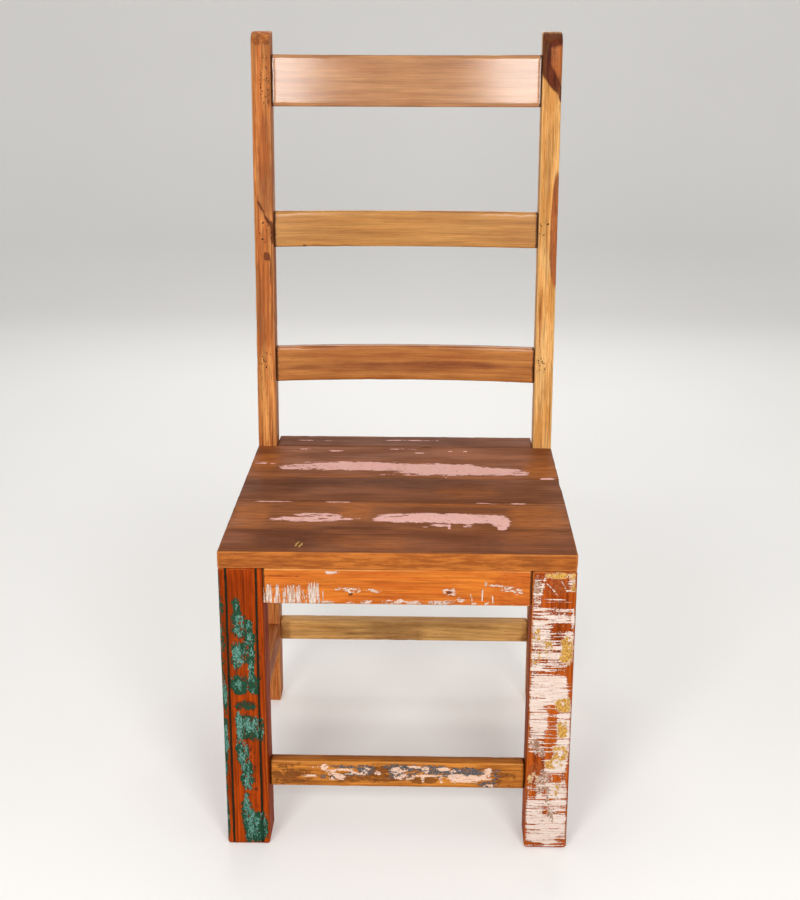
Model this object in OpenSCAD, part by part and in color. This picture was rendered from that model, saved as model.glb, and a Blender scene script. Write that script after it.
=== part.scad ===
// Ladder-back dining chair of reclaimed boards: square front legs, raked back
// posts with round tops, three bowed back rails and a five-board seat.
// Millimetres. +Z is up, +X is right, and the chair faces -Y.
// The origin is on the floor, at the middle of the chair's width and depth.

/* [Overall] */
// Width over the seat, the front legs and the back posts
chair_w = 480; // [400:1:580]
// Height of the post tops above the floor
chair_h = 1099; // [915:1:1320]
// Height of the seat's top face above the floor
seat_h = 447; // [370:1:540]
// Depth of the seat, from its front edge to its back edge
seat_depth = 526; // [436:1:640]

/* [Seat boards] */
// Thickness of the seat boards
seat_t = 24; // [20:0.1:30]
// Depth of the first board, at the front edge
board_1_d = 89; // [60:0.1:110]
// Depth of the second board
board_2_d = 113; // [70:0.1:136]
// Depth of the third board
board_3_d = 108; // [70:0.1:130]
// Depth of the strip between the back posts
back_strip_d = 58; // [45:0.1:70]
// Rounding of the seat's long front edge
seat_edge_r = 2.5; // [1:0.1:5]
// Diameter of the dowels between the boards
dowel_d = 8; // [6:0.1:10]
// Length of those dowels
dowel_l = 40; // [24:0.1:44]
// Distance from one dowel of a seam to the next
dowel_pitch = 150; // [80:1:165]

/* [Front legs] */
// Width and depth of a front leg
leg_w = 60; // [50:0.1:72]
// Rounding of a leg's long edges
leg_edge_r = 4; // [1:0.1:8]
// Width of the two grooves in the left leg's face
groove_w = 3.4; // [1:0.1:5]
// Depth of those grooves
groove_depth = 3; // [1:0.1:6]
// Slant of those grooves, in degrees from upright
groove_slant = 0.2; // [0:0.1:1]
// Distance of the outer groove from the leg's outer face, at mid height
outer_groove_x = 10; // [8:0.1:20]
// Distance of the inner groove from the leg's outer face, at mid height
inner_groove_x = 50.5; // [30:0.1:52]

/* [Back posts] */
// Thickness of a post, seen from the front
post_t = 30; // [25:0.1:40]
// Depth of a post, from its front face to its back face
post_d = 44; // [36:0.1:56]
// Lean of the post below the seat, in degrees
foot_lean = 4.7; // [2:0.1:7]
// Lean of the post above the seat, in degrees
back_lean = 4; // [1:0.1:6]
// Rounding of the post's top front corner
post_top_r = 22; // [10:1:28]

/* [Back rails] */
// Thickness of a back rail
rail_t = 20; // [14:0.1:24]
// How far a rail bows back at its middle
rail_bow = 22; // [10:0.1:30]
// How far a rail's ends lie behind the posts' front faces
rail_setback = 11; // [5:0.1:14]
// Height of the top rail
top_rail_h = 79; // [50:1:95]
// Height of the middle rail
middle_rail_h = 57; // [40:1:70]
// Height of the lower rail
lower_rail_h = 57; // [40:1:70]
// Distance from the post tops down to the top rail
top_rail_drop = 33; // [24:1:60]
// Distance from the seat up to the lower rail
lower_rail_rise = 105; // [60:1:130]

/* [Aprons] */
// Height of the aprons under the seat
apron_h = 51; // [42:0.1:70]
// Thickness of the aprons
apron_t = 22; // [18:0.1:26]
// How far the back apron lies behind the posts' front faces
back_apron_setback = 8; // [5:0.1:10]

/* [Stretchers] */
// Height of the front stretcher's lower edge above the floor
front_stretcher_z = 84; // [50:1:200]
// Height of the front stretcher
front_stretcher_h = 40; // [30:0.1:50]
// Thickness of the front stretcher
front_stretcher_t = 21; // [16:0.1:26]
// How far the front stretcher lies behind the legs' front faces
front_stretcher_setback = 18; // [6:0.1:20]
// Height of the rear stretcher's lower edge above the floor
rear_stretcher_z = 105; // [50:1:200]
// Height of the rear stretcher
rear_stretcher_h = 35; // [28:0.1:50]
// Thickness of the rear stretcher
rear_stretcher_t = 26; // [18:0.1:30]
// How far the rear stretcher lies behind the posts' front faces
rear_stretcher_setback = 12; // [10:0.1:16]
// Height of the side stretchers' lower edge above the floor
side_stretcher_z = 101; // [50:1:200]
// Height of a side stretcher
side_stretcher_h = 39; // [30:0.1:50]
// Thickness of a side stretcher
side_stretcher_t = 20; // [16:0.1:24]
// Rounding of the stretchers' and aprons' long edges
bar_edge_r = 2.5; // [1:0.1:4]

/* [Joints] */
// Thickness of the tenons
tenon_t = 10; // [7:0.1:12]
// Shoulder above and below a tenon
tenon_shoulder = 6; // [3:0.1:8]
// Length of the tenons in the front legs and across the posts
tenon_l = 18; // [12:0.1:20]
// Length of the side pieces' tenons in the posts
post_tenon_l = 11; // [8:0.1:13]
// Gap around a tenon in its mortise
tenon_gap = 0.15; // [0.05:0.05:0.3]
// Gap past a tenon's end
tenon_end_gap = 1; // [0.5:0.1:2]
// Gap between the seat boards and the posts
post_gap = 0.3; // [0.1:0.1:1]

/* [Corner blocks and screws] */
// Height of a corner block
block_h = 40; // [36:0.1:50]
// Reach of a front block past the leg, along each apron
front_block_reach = 55; // [48:0.1:66]
// Reach of a back block from the corner, along each apron
back_block_reach = 50; // [44:0.1:60]
// Distance of a screw in an apron from the block's thin end
screw_inset = 18; // [15:0.1:20]
// Depth of block under the head of a screw into an apron
apron_screw_seat = 12; // [9:0.1:12]
// Depth of block over the head of a screw into the seat
seat_screw_seat = 32; // [24:0.1:34]
// Length of a screw past the block
screw_bite = 14; // [10:0.1:14]
// Diameter of a screw's shank
screw_d = 4; // [3:0.1:5]
// Diameter of a screw's head
screw_head_d = 8; // [7:0.1:9]
// Height of a screw's head
screw_head_h = 2.5; // [2:0.1:3]
// Gap around a screw and around a dowel
bore_gap = 0.1; // [0.05:0.05:0.2]

/* [Hidden] */

LEFT = -1;
RIGHT = 1;
$fn = 48;
BOW_FN = 720;
CUT = 1;            // how far a cutting solid runs past what it cuts
DOWELS_PER_SEAM = 3;
ROUND_STEPS = 12;

// Faces that the pieces share
half_w = chair_w / 2;
leg_in = half_w - leg_w;            // inner face of a front leg
post_in = half_w - post_t;          // inner face of a back post
seat_under = seat_h - seat_t;       // tops of the legs and aprons
apron_z = seat_under - apron_h;
post_seat_y = seat_depth - back_strip_d;
top_round_z = chair_h - post_top_r;

// Seams of the seat, front to back: board n lies between seam n - 1 and seam n
seams = [
    0,
    board_1_d,
    board_1_d + board_2_d,
    board_1_d + board_2_d + board_3_d,
    post_seat_y,
    seat_depth
];

// Rails are placed from the seat and from the post tops, the middle one between them
lower_rail_z = seat_h + lower_rail_rise;
top_rail_z = chair_h - top_rail_drop - top_rail_h;
middle_rail_z = (lower_rail_z + lower_rail_h + top_rail_z - middle_rail_h) / 2;
rail_front_r = (post_in * post_in + rail_bow * rail_bow) / (2 * rail_bow);

// Front face of a post at height z: it leans more below the seat than above it
function post_y(z) =
    post_seat_y + (z - seat_h) * tan(z < seat_h ? foot_lean : back_lean);

back_apron_y = post_y(seat_under) + back_apron_setback;
rear_stretcher_y = post_y(rear_stretcher_z + rear_stretcher_h / 2) + rear_stretcher_setback;
chair_d = max(post_y(chair_h) + post_d, seat_depth);

// Moves the chair from its front face to the origin
module in_frame() {
    translate([0, -chair_d / 2, 0]) children();
}

// Rectangle with round corners, from the origin towards +X and +Y
module eased_rect(w, h, r) {
    translate([r, 0]) square([w - 2 * r, h]);
    translate([0, r]) square([w, h - 2 * r]);
    for (x = [r, w - r], y = [r, h - r])
        translate([x, y]) circle(r);
}

// Bar with eased edges from x0 to x1; its section starts at y, z
module bar_x(x0, x1, y, z, t, h) {
    translate([x0, y, z]) rotate([90, 0, 90])
        linear_extrude(x1 - x0) eased_rect(t, h, bar_edge_r);
}

// The same bar from y0 to y1; its section starts at x, z
module bar_y(y0, y1, x, z, t, h) {
    translate([x, y1, z]) rotate([90, 0, 0])
        linear_extrude(y1 - y0) eased_rect(t, h, bar_edge_r);
}

// Box between two corners, grown by a gap on every side
module box(low, high, gap) {
    translate(low - gap * [1, 1, 1])
        cube(high - low + 2 * gap * [1, 1, 1]);
}

// Tenons at both ends of a cross bar, from -half_l to half_l; gap makes the mortises
module cross_tenons(half_l, y, z, t, h, gap) {
    reach = half_l + tenon_l + (gap > 0 ? tenon_end_gap : 0);
    box([-reach, y + (t - tenon_t) / 2, z + tenon_shoulder],
        [reach, y + (t + tenon_t) / 2, z + h - tenon_shoulder], gap);
}

// Tenons at both ends of a side bar, between the front leg and the post
module side_tenons(x, z, t, h, gap) {
    end_gap = gap > 0 ? tenon_end_gap : 0;
    box([x + (t - tenon_t) / 2, leg_w - tenon_l - end_gap, z + tenon_shoulder],
        [x + (t + tenon_t) / 2, post_y(z) + post_tenon_l + end_gap, z + h - tenon_shoulder], gap);
}

// --- Back rails -------------------------------------------------------------

// Places a rail: its middle height on the posts' front face, tilted as they lean
module on_back(z, h) {
    translate([0, post_y(seat_h) + (z + h / 2 - seat_h) * tan(back_lean), z + h / 2])
        rotate([-back_lean, 0, 0]) children();
}

module rail_tenons(z, h, gap) {
    on_back(z, h) cross_tenons(post_in, rail_setback, -h / 2, rail_t, h, gap);
}

// One rail: a bowed board cut off at the posts' inner faces, with a tenon at each end
module back_rail(z, h) {
    on_back(z, h) intersection() {
        translate([0, rail_setback + rail_bow - rail_front_r, -h / 2]) difference() {
            cylinder(h = h, r = rail_front_r + rail_t, $fn = BOW_FN);
            translate([0, 0, -CUT]) cylinder(h = h + 2 * CUT, r = rail_front_r, $fn = BOW_FN);
        }
        translate([-post_in, 0, -h]) cube([2 * post_in, rail_bow + 3 * rail_t, 2 * h]);
    }
    difference() {
        rail_tenons(z, h, 0);
        on_back(z, h) translate([-post_in, 0, -h]) cube([2 * post_in, post_d, 2 * h]);
    }
}

module all_rail_tenons(gap) {
    rail_tenons(lower_rail_z, lower_rail_h, gap);
    rail_tenons(middle_rail_z, middle_rail_h, gap);
    rail_tenons(top_rail_z, top_rail_h, gap);
}

// --- Aprons and stretchers --------------------------------------------------

module front_apron_tenons(gap) {
    cross_tenons(leg_in, 0, apron_z, apron_t, apron_h, gap);
}

module back_apron_tenons(gap) {
    cross_tenons(post_in, back_apron_y, apron_z, apron_t, apron_h, gap);
}

module front_stretcher_tenons(gap) {
    cross_tenons(leg_in, front_stretcher_setback, front_stretcher_z,
        front_stretcher_t, front_stretcher_h, gap);
}

module rear_stretcher_tenons(gap) {
    cross_tenons(post_in, rear_stretcher_y, rear_stretcher_z,
        rear_stretcher_t, rear_stretcher_h, gap);
}

module side_apron_tenons(gap) {
    side_tenons(post_in, apron_z, apron_t, apron_h, gap);
}

module side_stretcher_tenons(gap) {
    side_tenons(post_in, side_stretcher_z, side_stretcher_t, side_stretcher_h, gap);
}

// A side bar runs from the leg's back face to the post's leaning front face
module side_bar(z, t, h) {
    difference() {
        bar_y(leg_w, post_y(z) + post_d / 2, post_in, z, t, h);
        post_blank(RIGHT, 0);
    }
}

// --- Legs and posts ---------------------------------------------------------

// One groove in the left leg's face, running the height of the leg
module leg_groove(x) {
    translate([-half_w + x, -CUT, seat_under / 2]) rotate([0, groove_slant, 0])
        translate([-groove_w / 2, 0, -seat_h])
            cube([groove_w, groove_depth + CUT, 2 * seat_h]);
}

module front_leg(side) {
    difference() {
        translate([side == LEFT ? -half_w : leg_in, 0, 0])
            linear_extrude(seat_under) eased_rect(leg_w, leg_w, leg_edge_r);
        front_apron_tenons(tenon_gap);
        front_stretcher_tenons(tenon_gap);
        mirror([side == LEFT ? 1 : 0, 0, 0]) {
            side_apron_tenons(tenon_gap);
            side_stretcher_tenons(tenon_gap);
        }
        if (side == LEFT)
            for (x = [outer_groove_x, inner_groove_x]) leg_groove(x);
    }
}

// Side outline of a post, in depth and height, grown by a gap front and back
module post_outline(gap) {
    round_turn = [for (i = [0:ROUND_STEPS]) 90 * i / ROUND_STEPS];
    polygon(concat(
        [for (z = [0, seat_h]) [post_y(z) - gap, z]],
        [for (a = round_turn) [
            post_y(top_round_z) + post_top_r * (1 - cos(a)) - gap,
            top_round_z + post_top_r * sin(a)
        ]],
        [for (z = [chair_h, seat_h, 0]) [post_y(z) + post_d + gap, z]]
    ));
}

module post_blank(side, gap) {
    x0 = side == LEFT ? -half_w : post_in;
    translate([x0 - gap, 0, 0]) rotate([90, 0, 90])
        linear_extrude(post_t + 2 * gap) post_outline(gap);
}

module back_post(side) {
    difference() {
        post_blank(side, 0);
        all_rail_tenons(tenon_gap);
        back_apron_tenons(tenon_gap);
        rear_stretcher_tenons(tenon_gap);
        mirror([side == LEFT ? 1 : 0, 0, 0]) {
            side_apron_tenons(tenon_gap);
            side_stretcher_tenons(tenon_gap);
        }
    }
}

// --- Seat -------------------------------------------------------------------

// Dowels of one seam; gap makes their bores
module seam_dowels(seam, gap) {
    for (i = [0 : DOWELS_PER_SEAM - 1])
        translate([
            (i - (DOWELS_PER_SEAM - 1) / 2) * dowel_pitch,
            seams[seam] + dowel_l / 2 + gap,
            seat_h - seat_t / 2
        ])
            rotate([90, 0, 0]) cylinder(h = dowel_l + 2 * gap, d = dowel_d + 2 * gap);
}

module board_blank(n) {
    y0 = seams[n - 1];
    depth = seams[n] - y0;
    translate([-half_w, y0, seat_under]) rotate([90, 0, 90])
        linear_extrude(chair_w)
            if (n == 1) {
                eased_rect(depth, seat_t, seat_edge_r);
                translate([seat_edge_r, 0]) square([depth - seat_edge_r, seat_t]);
            } else {
                square([depth, seat_t]);
            }
}

// Board n of the seat, counted from the front, with its dowel and screw bores
module seat_board(n) {
    difference() {
        board_blank(n);
        if (n > 1) seam_dowels(n - 1, bore_gap);
        if (n < 5) seam_dowels(n, bore_gap);
        for (side = [LEFT, RIGHT]) post_blank(side, post_gap);
        seat_screw_set(bore_gap);
    }
}

// --- Corner blocks and screws -----------------------------------------------

// A corner block's own frame: u runs in from the side apron, v in from the end apron
module at_corner(side, back) {
    translate([side * post_in, back ? back_apron_y : apron_t, seat_under - block_h])
        mirror([side == RIGHT ? 1 : 0, 0, 0])
            mirror([0, back ? 1 : 0, 0]) children();
}

// Leg corner that a front block is notched around, and the reach of each arm
function block_notch(back) = back ? [0, 0] : [post_in - leg_in, leg_w - apron_t];
function block_arm(back) =
    block_notch(back) + (back ? back_block_reach : front_block_reach) * [1, 1];
function seat_screw_at(back) =
    back ? 0.28 * block_arm(back) : [block_notch(back)[0] / 2, block_notch(back)[1] + leg_w / 4];

// Screw pointing down: its head sits at z = 0 and above, its shank goes to -length
module screw(length, gap) {
    translate([0, 0, -length - gap]) cylinder(h = length + gap, d = screw_d + 2 * gap);
    cylinder(h = screw_head_h + gap, d = screw_head_d + 2 * gap);
}

// Places a block's two apron screws, heads towards the room under the seat
module at_apron_screws(back) {
    arm = block_arm(back);
    translate([arm[0] - screw_inset, apron_screw_seat, block_h / 2])
        rotate([-90, 0, 0]) children();
    translate([apron_screw_seat, arm[1] - screw_inset, block_h / 2])
        rotate([0, 90, 0]) children();
}

module apron_screw_set(gap) {
    for (side = [LEFT, RIGHT], back = [false, true])
        at_corner(side, back) at_apron_screws(back) screw(apron_screw_seat + screw_bite, gap);
}

// Places a block's seat screw, at the height where its head stops
module at_seat_screw(back) {
    spot = seat_screw_at(back);
    translate([spot[0], spot[1], block_h - seat_screw_seat]) children();
}

// Screws that go up through the blocks into the seat
module seat_screw_set(gap) {
    for (side = [LEFT, RIGHT], back = [false, true])
        at_corner(side, back) at_seat_screw(back)
            mirror([0, 0, 1]) screw(seat_screw_seat + screw_bite, gap);
}

module corner_block(side, back) {
    arm = block_arm(back);
    notch = block_notch(back);
    well_d = screw_head_d + 2;
    difference() {
        at_corner(side, back) {
            difference() {
                linear_extrude(block_h) polygon([[0, 0], [arm[0], 0], [0, arm[1]]]);
                if (!back)
                    translate([-CUT, -CUT, -CUT])
                        cube([notch[0] + CUT, notch[1] + CUT, block_h + 2 * CUT]);
                at_apron_screws(back) cylinder(h = arm[0] + arm[1], d = well_d);
                at_seat_screw(back) mirror([0, 0, 1]) cylinder(h = block_h, d = well_d);
            }
        }
        apron_screw_set(bore_gap);
        seat_screw_set(bore_gap);
    }
}

// --- The nodes --------------------------------------------------------------

module front_leg_left() { color("#2f6b5a") in_frame() front_leg(LEFT); }
module front_leg_right() { color("#e9dcd2") in_frame() front_leg(RIGHT); }
module back_post_left() { color("#b4662f") in_frame() back_post(LEFT); }
module back_post_right() { color("#d29a50") in_frame() back_post(RIGHT); }

module top_rail() { color("#c89664") in_frame() back_rail(top_rail_z, top_rail_h); }
module middle_rail() { color("#c89150") in_frame() back_rail(middle_rail_z, middle_rail_h); }
module lower_rail() { color("#b96e32") in_frame() back_rail(lower_rail_z, lower_rail_h); }

module front_apron() {
    color("#dc7d2d") in_frame() difference() {
        union() {
            bar_x(-leg_in, leg_in, 0, apron_z, apron_t, apron_h);
            front_apron_tenons(0);
        }
        apron_screw_set(bore_gap);
    }
}

module back_apron() {
    color("#b4743c") in_frame() difference() {
        union() {
            bar_x(-post_in, post_in, back_apron_y, apron_z, apron_t, apron_h);
            back_apron_tenons(0);
        }
        apron_screw_set(bore_gap);
    }
}

// Both side aprons; the left one is the mirror of the right one
module side_apron(side) {
    difference() {
        mirror([side == LEFT ? 1 : 0, 0, 0]) {
            side_bar(apron_z, apron_t, apron_h);
            side_apron_tenons(0);
        }
        apron_screw_set(bore_gap);
    }
}

module side_apron_left() { color("#a8642f") in_frame() side_apron(LEFT); }
module side_apron_right() { color("#a8642f") in_frame() side_apron(RIGHT); }

module front_stretcher() {
    color("#c0833c") in_frame() {
        bar_x(-leg_in, leg_in, front_stretcher_setback, front_stretcher_z,
            front_stretcher_t, front_stretcher_h);
        front_stretcher_tenons(0);
    }
}

module rear_stretcher() {
    color("#cd9b5a") in_frame() {
        bar_x(-post_in, post_in, rear_stretcher_y, rear_stretcher_z,
            rear_stretcher_t, rear_stretcher_h);
        rear_stretcher_tenons(0);
    }
}

module side_stretcher(side) {
    mirror([side == LEFT ? 1 : 0, 0, 0]) {
        side_bar(side_stretcher_z, side_stretcher_t, side_stretcher_h);
        side_stretcher_tenons(0);
    }
}

module side_stretcher_left() { color("#8f5a30") in_frame() side_stretcher(LEFT); }
module side_stretcher_right() { color("#8f5a30") in_frame() side_stretcher(RIGHT); }

module seat_board_1() { color("#98592f") in_frame() seat_board(1); }
module seat_board_2() { color("#8c5a3c") in_frame() seat_board(2); }
module seat_board_3() { color("#84563e") in_frame() seat_board(3); }
module seat_board_4() { color("#8a5c42") in_frame() seat_board(4); }

// The strip that lies between the posts and reaches behind them
module seat_board_5() {
    color("#7d5644") in_frame() intersection() {
        seat_board(5);
        translate([-post_in + post_gap, 0, 0])
            cube([2 * (post_in - post_gap), 2 * seat_depth, chair_h]);
    }
}

module seat_dowels() {
    color("#d8b98a") in_frame()
        for (seam = [1:4]) seam_dowels(seam, 0);
}

module corner_block_front_left() { color("#b98d5a") in_frame() corner_block(LEFT, false); }
module corner_block_front_right() { color("#b98d5a") in_frame() corner_block(RIGHT, false); }
module corner_block_back_left() { color("#b98d5a") in_frame() corner_block(LEFT, true); }
module corner_block_back_right() { color("#b98d5a") in_frame() corner_block(RIGHT, true); }
module corner_block_screws() { color("#9a9a98") in_frame() apron_screw_set(0); }
module seat_screws() { color("#9a9a98") in_frame() seat_screw_set(0); }

front_leg_left();
front_leg_right();
back_post_left();
back_post_right();
top_rail();
middle_rail();
lower_rail();
front_apron();
back_apron();
side_apron_left();
side_apron_right();
front_stretcher();
rear_stretcher();
side_stretcher_left();
side_stretcher_right();
seat_board_1();
seat_board_2();
seat_board_3();
seat_board_4();
seat_board_5();
seat_dowels();
corner_block_front_left();
corner_block_front_right();
corner_block_back_left();
corner_block_back_right();
corner_block_screws();
seat_screws();
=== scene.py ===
# %% [markdown]
# # A ladder-back chair of old painted boards
# The real chair was made from timber that had already been something else.
# Its legs, rails and seat were cut from old boards, and scraps of teal, white
# and pink paint were left on them under a coat of varnish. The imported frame
# gives every piece its true place and size, so this script only makes the
# surfaces: it cuts each member again as a finer mesh with worn edges, and
# paints it with procedural materials.

import math

import bmesh
import bpy
from mathutils import Matrix, Vector, noise


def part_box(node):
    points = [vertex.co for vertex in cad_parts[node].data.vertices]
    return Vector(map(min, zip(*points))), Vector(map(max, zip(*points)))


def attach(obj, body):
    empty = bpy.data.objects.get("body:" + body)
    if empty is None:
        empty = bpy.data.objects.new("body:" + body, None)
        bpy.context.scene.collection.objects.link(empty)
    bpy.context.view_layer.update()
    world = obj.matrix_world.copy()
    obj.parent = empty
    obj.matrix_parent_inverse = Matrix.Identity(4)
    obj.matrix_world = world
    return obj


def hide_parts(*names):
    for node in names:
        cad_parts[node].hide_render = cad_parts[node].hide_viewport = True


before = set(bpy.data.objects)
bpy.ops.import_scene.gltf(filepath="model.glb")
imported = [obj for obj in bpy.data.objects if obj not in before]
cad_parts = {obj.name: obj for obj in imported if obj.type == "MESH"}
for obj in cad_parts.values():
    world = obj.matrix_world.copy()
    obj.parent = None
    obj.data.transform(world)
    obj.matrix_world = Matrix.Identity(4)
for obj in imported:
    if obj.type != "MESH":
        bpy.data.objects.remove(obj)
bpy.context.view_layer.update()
MM = 0.001
print("the frame has", len(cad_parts), "nodes")

# %% [markdown]
# ## The camera
# The chair is seen from the front, from about the height of a standing
# person's chest and a little to the right of its middle, looking down at the
# seat. A lens of 56 mm at two metres keeps the legs from splaying too much.
# The camera comes first, so that every later choice is judged through it.

# %% Camera
CAMERA_AT = Vector((0.045, -2.0146, 1.144))
CAMERA_YAW = math.radians(1.362)
CAMERA_PITCH = math.radians(17.677)
CAMERA_ROLL = math.radians(0.105)
CAMERA_LENS = 56.39

camera_data = bpy.data.cameras.new("camera")
camera_data.lens = CAMERA_LENS
camera = bpy.data.objects.new("camera", camera_data)
camera.matrix_world = (
    Matrix.Translation(CAMERA_AT)
    @ Matrix.Rotation(CAMERA_YAW, 4, "Z")
    @ Matrix.Rotation(math.pi / 2 - CAMERA_PITCH, 4, "X")
    @ Matrix.Rotation(CAMERA_ROLL, 4, "Z")
)
bpy.context.scene.collection.objects.link(camera)
bpy.context.scene.camera = camera
print("the camera stands", round(CAMERA_AT.length, 2), "m from the chair's origin")

# %% [markdown]
# ## Places that several pieces share
# Every place is read from the frame: the inner faces of the legs and posts,
# the top of the seat, and the line of the leaning posts. A member's visible
# length runs from shoulder to shoulder, because its tenons are inside the
# mortises and never show.

# %% Shared places
leg_low, leg_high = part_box("front_leg_left")
post_low, post_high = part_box("back_post_left")
FRONT_Y = leg_low.y
LEG_IN = -leg_high.x
POST_IN = -post_high.x
LEG_BACK_Y = leg_high.y
SEAT_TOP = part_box("seat_board_1")[1].z
POST_SEAT_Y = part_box("seat_board_4")[1].y
POST_TOP = post_high.z
POST_D = 44 * MM
FOOT_SLOPE = (POST_SEAT_Y - post_low.y) / SEAT_TOP
BACK_SLOPE = (post_high.y - POST_D - POST_SEAT_Y) / (POST_TOP - SEAT_TOP)


def post_front(z):
    """Front face of a post at height z: it leans more below the seat than above."""
    slope = FOOT_SLOPE if z < SEAT_TOP else BACK_SLOPE
    return POST_SEAT_Y + (z - SEAT_TOP) * slope


print("the posts lean", round(math.degrees(math.atan(BACK_SLOPE)), 1), "degrees")

# %% [markdown]
# ## Cutting a member
# A sawn member is a box whose edges have been eased with a block plane. It
# could be a cube with a Bevel modifier, but the wear has to be modelled too,
# so the mesh needs points all along its faces. The member starts as a cube,
# its sharp edges are bevelled, and then planes slice it into small squares.
# It is made lying in its own straight frame: x across, y through, z along
# the grain. That frame is kept on every point as an attribute named
# "straight", so that the grain follows a member even when it is bent or
# leaned later.

# %% Straight members
FIELDS = ("paint", "second_paint", "stain", "second_stain", "dirt", "worm", "arris")
SHARP = math.radians(50)
MERGE = 1e-6
EASE = 2 * MM
EASE_STEPS = 2
BAR_EASE = 2.2 * MM
CLEAR_OF_GROOVE = 2.6 * MM
EVEN = (5 * MM, 5 * MM, 5 * MM)
FINE_FRONT = (2 * MM, 5 * MM, 2 * MM)


def slice_box(bm, normal, places):
    """Cuts the mesh with parallel planes at the given distances from its middle."""
    for place in places:
        parts = bm.verts[:] + bm.edges[:] + bm.faces[:]
        bmesh.ops.bisect_plane(bm, geom=parts, plane_co=normal * place, plane_no=normal, dist=MERGE)


def even_cuts(length, ease, spacing):
    """Places from one eased end to the other, about a spacing apart."""
    span = length - 2 * ease
    count = max(2, round(span / spacing))
    return [-span / 2 + span * i / count for i in range(1, count)]


def ease_edges(bm, radius, segments, chosen):
    """Rounds the sharp edges whose middle the chosen function accepts."""
    sharp = [e for e in bm.edges if e.calc_face_angle(0.0) > SHARP]
    edges = [e for e in sharp if chosen((e.verts[0].co + e.verts[1].co) / 2)]
    bmesh.ops.bevel(
        bm, geom=edges, offset=radius, offset_type="OFFSET", affect="EDGES",
        segments=segments, profile=0.5, material=-1, clamp_overlap=True,
    )


def everywhere(middle):
    return True


def cut_member(size, ease=EASE, spacing=EVEN, first=None, grooves=(), keep_clear=()):
    """A straight member round the origin, with its straight frame kept on its points.

    size and spacing are across, through and along the grain. first is one
    larger rounding made before the rest. grooves holds sloping cuts as
    (normal, places), and no straight cut is made close to a place across
    that is in keep_clear.
    """
    bm = bmesh.new()
    bmesh.ops.create_cube(bm, size=1.0)
    bmesh.ops.scale(bm, vec=size, verts=bm.verts)
    if first:
        ease_edges(bm, *first)
    ease_edges(bm, ease, EASE_STEPS, everywhere)
    for axis in range(3):
        normal = Vector((axis == 0, axis == 1, axis == 2))
        places = even_cuts(size[axis], ease, spacing[axis])
        if axis == 0:
            places = [p for p in places if all(abs(p - c) > CLEAR_OF_GROOVE for c in keep_clear)]
        slice_box(bm, normal, places)
    for normal, places in grooves:
        slice_box(bm, normal, places)
    straight = bm.verts.layers.float_vector.new("straight")
    for name in FIELDS:
        bm.verts.layers.float.new(name)
    for vert in bm.verts:
        vert[straight] = vert.co
    return bm


print("a member carries", len(FIELDS), "wear and paint fields")

# %% [markdown]
# ## Wearing a member
# Old boards are never quite flat, and their edges carry knocks. Three small
# moves make that: a slow hollow over the faces, a ragged loss along the
# edges, and a few deeper bites where the noise is strongest. All of them go
# inwards, so that the piece never grows past the size that the frame gives.
# How near a point lies to an edge is its second smallest distance to the
# sides, and that is kept in the field "arris" for the materials.

# %% Wear
ON_FACE = 1.5 * MM
ARRIS_BAND = 5 * MM
WORN_BAND = 4.5 * MM
SEED_STEPS = (3.1, 1.7, 0.9)
HOLLOW_SCALE = 11
KNOCK_SCALE = 70
BITE_SCALE = 34
BITE_FROM = 0.38
BITE_GAIN = 2.2


def edge_distance(co, half):
    """How far a point of a box lies from the box's nearest edge."""
    return sorted(half[i] - abs(co[i]) for i in range(3))[1]


def inward(co, half):
    """Direction into the box from the faces that a point lies on."""
    step = Vector((0, 0, 0))
    for i in range(3):
        if half[i] - abs(co[i]) < ON_FACE:
            step[i] = -1 if co[i] > 0 else 1
    return step


def wear_member(bm, size, seed, hollow=0.25 * MM, knock=0.9 * MM, bite=2.2 * MM):
    """Moves the points of a straight member inwards, as use and age have done."""
    half = Vector(size) / 2
    arris = bm.verts.layers.float["arris"]
    shift = Vector([seed * step for step in SEED_STEPS])
    for vert in bm.verts:
        co = vert.co.copy()
        near = edge_distance(co, half)
        vert[arris] = max(0.0, 1 - near / ARRIS_BAND)
        slow = 0.5 + 0.5 * noise.noise(co * HOLLOW_SCALE + shift)
        fine = 0.5 + 0.5 * noise.noise(co * KNOCK_SCALE + shift)
        deep = noise.noise(co * BITE_SCALE + shift * 2)
        at_edge = max(0.0, 1 - near / WORN_BAND)
        loss = hollow * slow + knock * fine * at_edge
        loss += bite * max(0.0, deep - BITE_FROM) * BITE_GAIN * at_edge
        vert.co = co + inward(co, half) * loss


print("edges wear in a band of", round(WORN_BAND / MM, 1), "mm")

# %% [markdown]
# ## Marking where paint is left
# The paint is left in patches that a person could point at, so they are
# listed one by one. Each patch is a soft-cornered rectangle on one face: where
# its middle is, how far it reaches each way, the value that it brings, and
# for some how far it is turned, in degrees. Patches are laid in order, like
# strokes, so a later one can add paint or scrape it off. The field stays
# smooth here. The material adds the ragged edge, because a shader can be far
# finer than the mesh.

# %% Fields of paint and stain
SQUARENESS = 3
FADE_END = 1.3
FADE_SPAN = 0.6


def patch_shape(du, dv, half_u, half_v, turn):
    """1 in the middle of a patch, fading to 0 past its edge."""
    u = du * math.cos(turn) + dv * math.sin(turn)
    v = dv * math.cos(turn) - du * math.sin(turn)
    reach = ((abs(u) / half_u) ** SQUARENESS + (abs(v) / half_v) ** SQUARENESS) ** (1 / SQUARENESS)
    return min(1.0, max(0.0, (FADE_END - reach) / FADE_SPAN))


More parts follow.
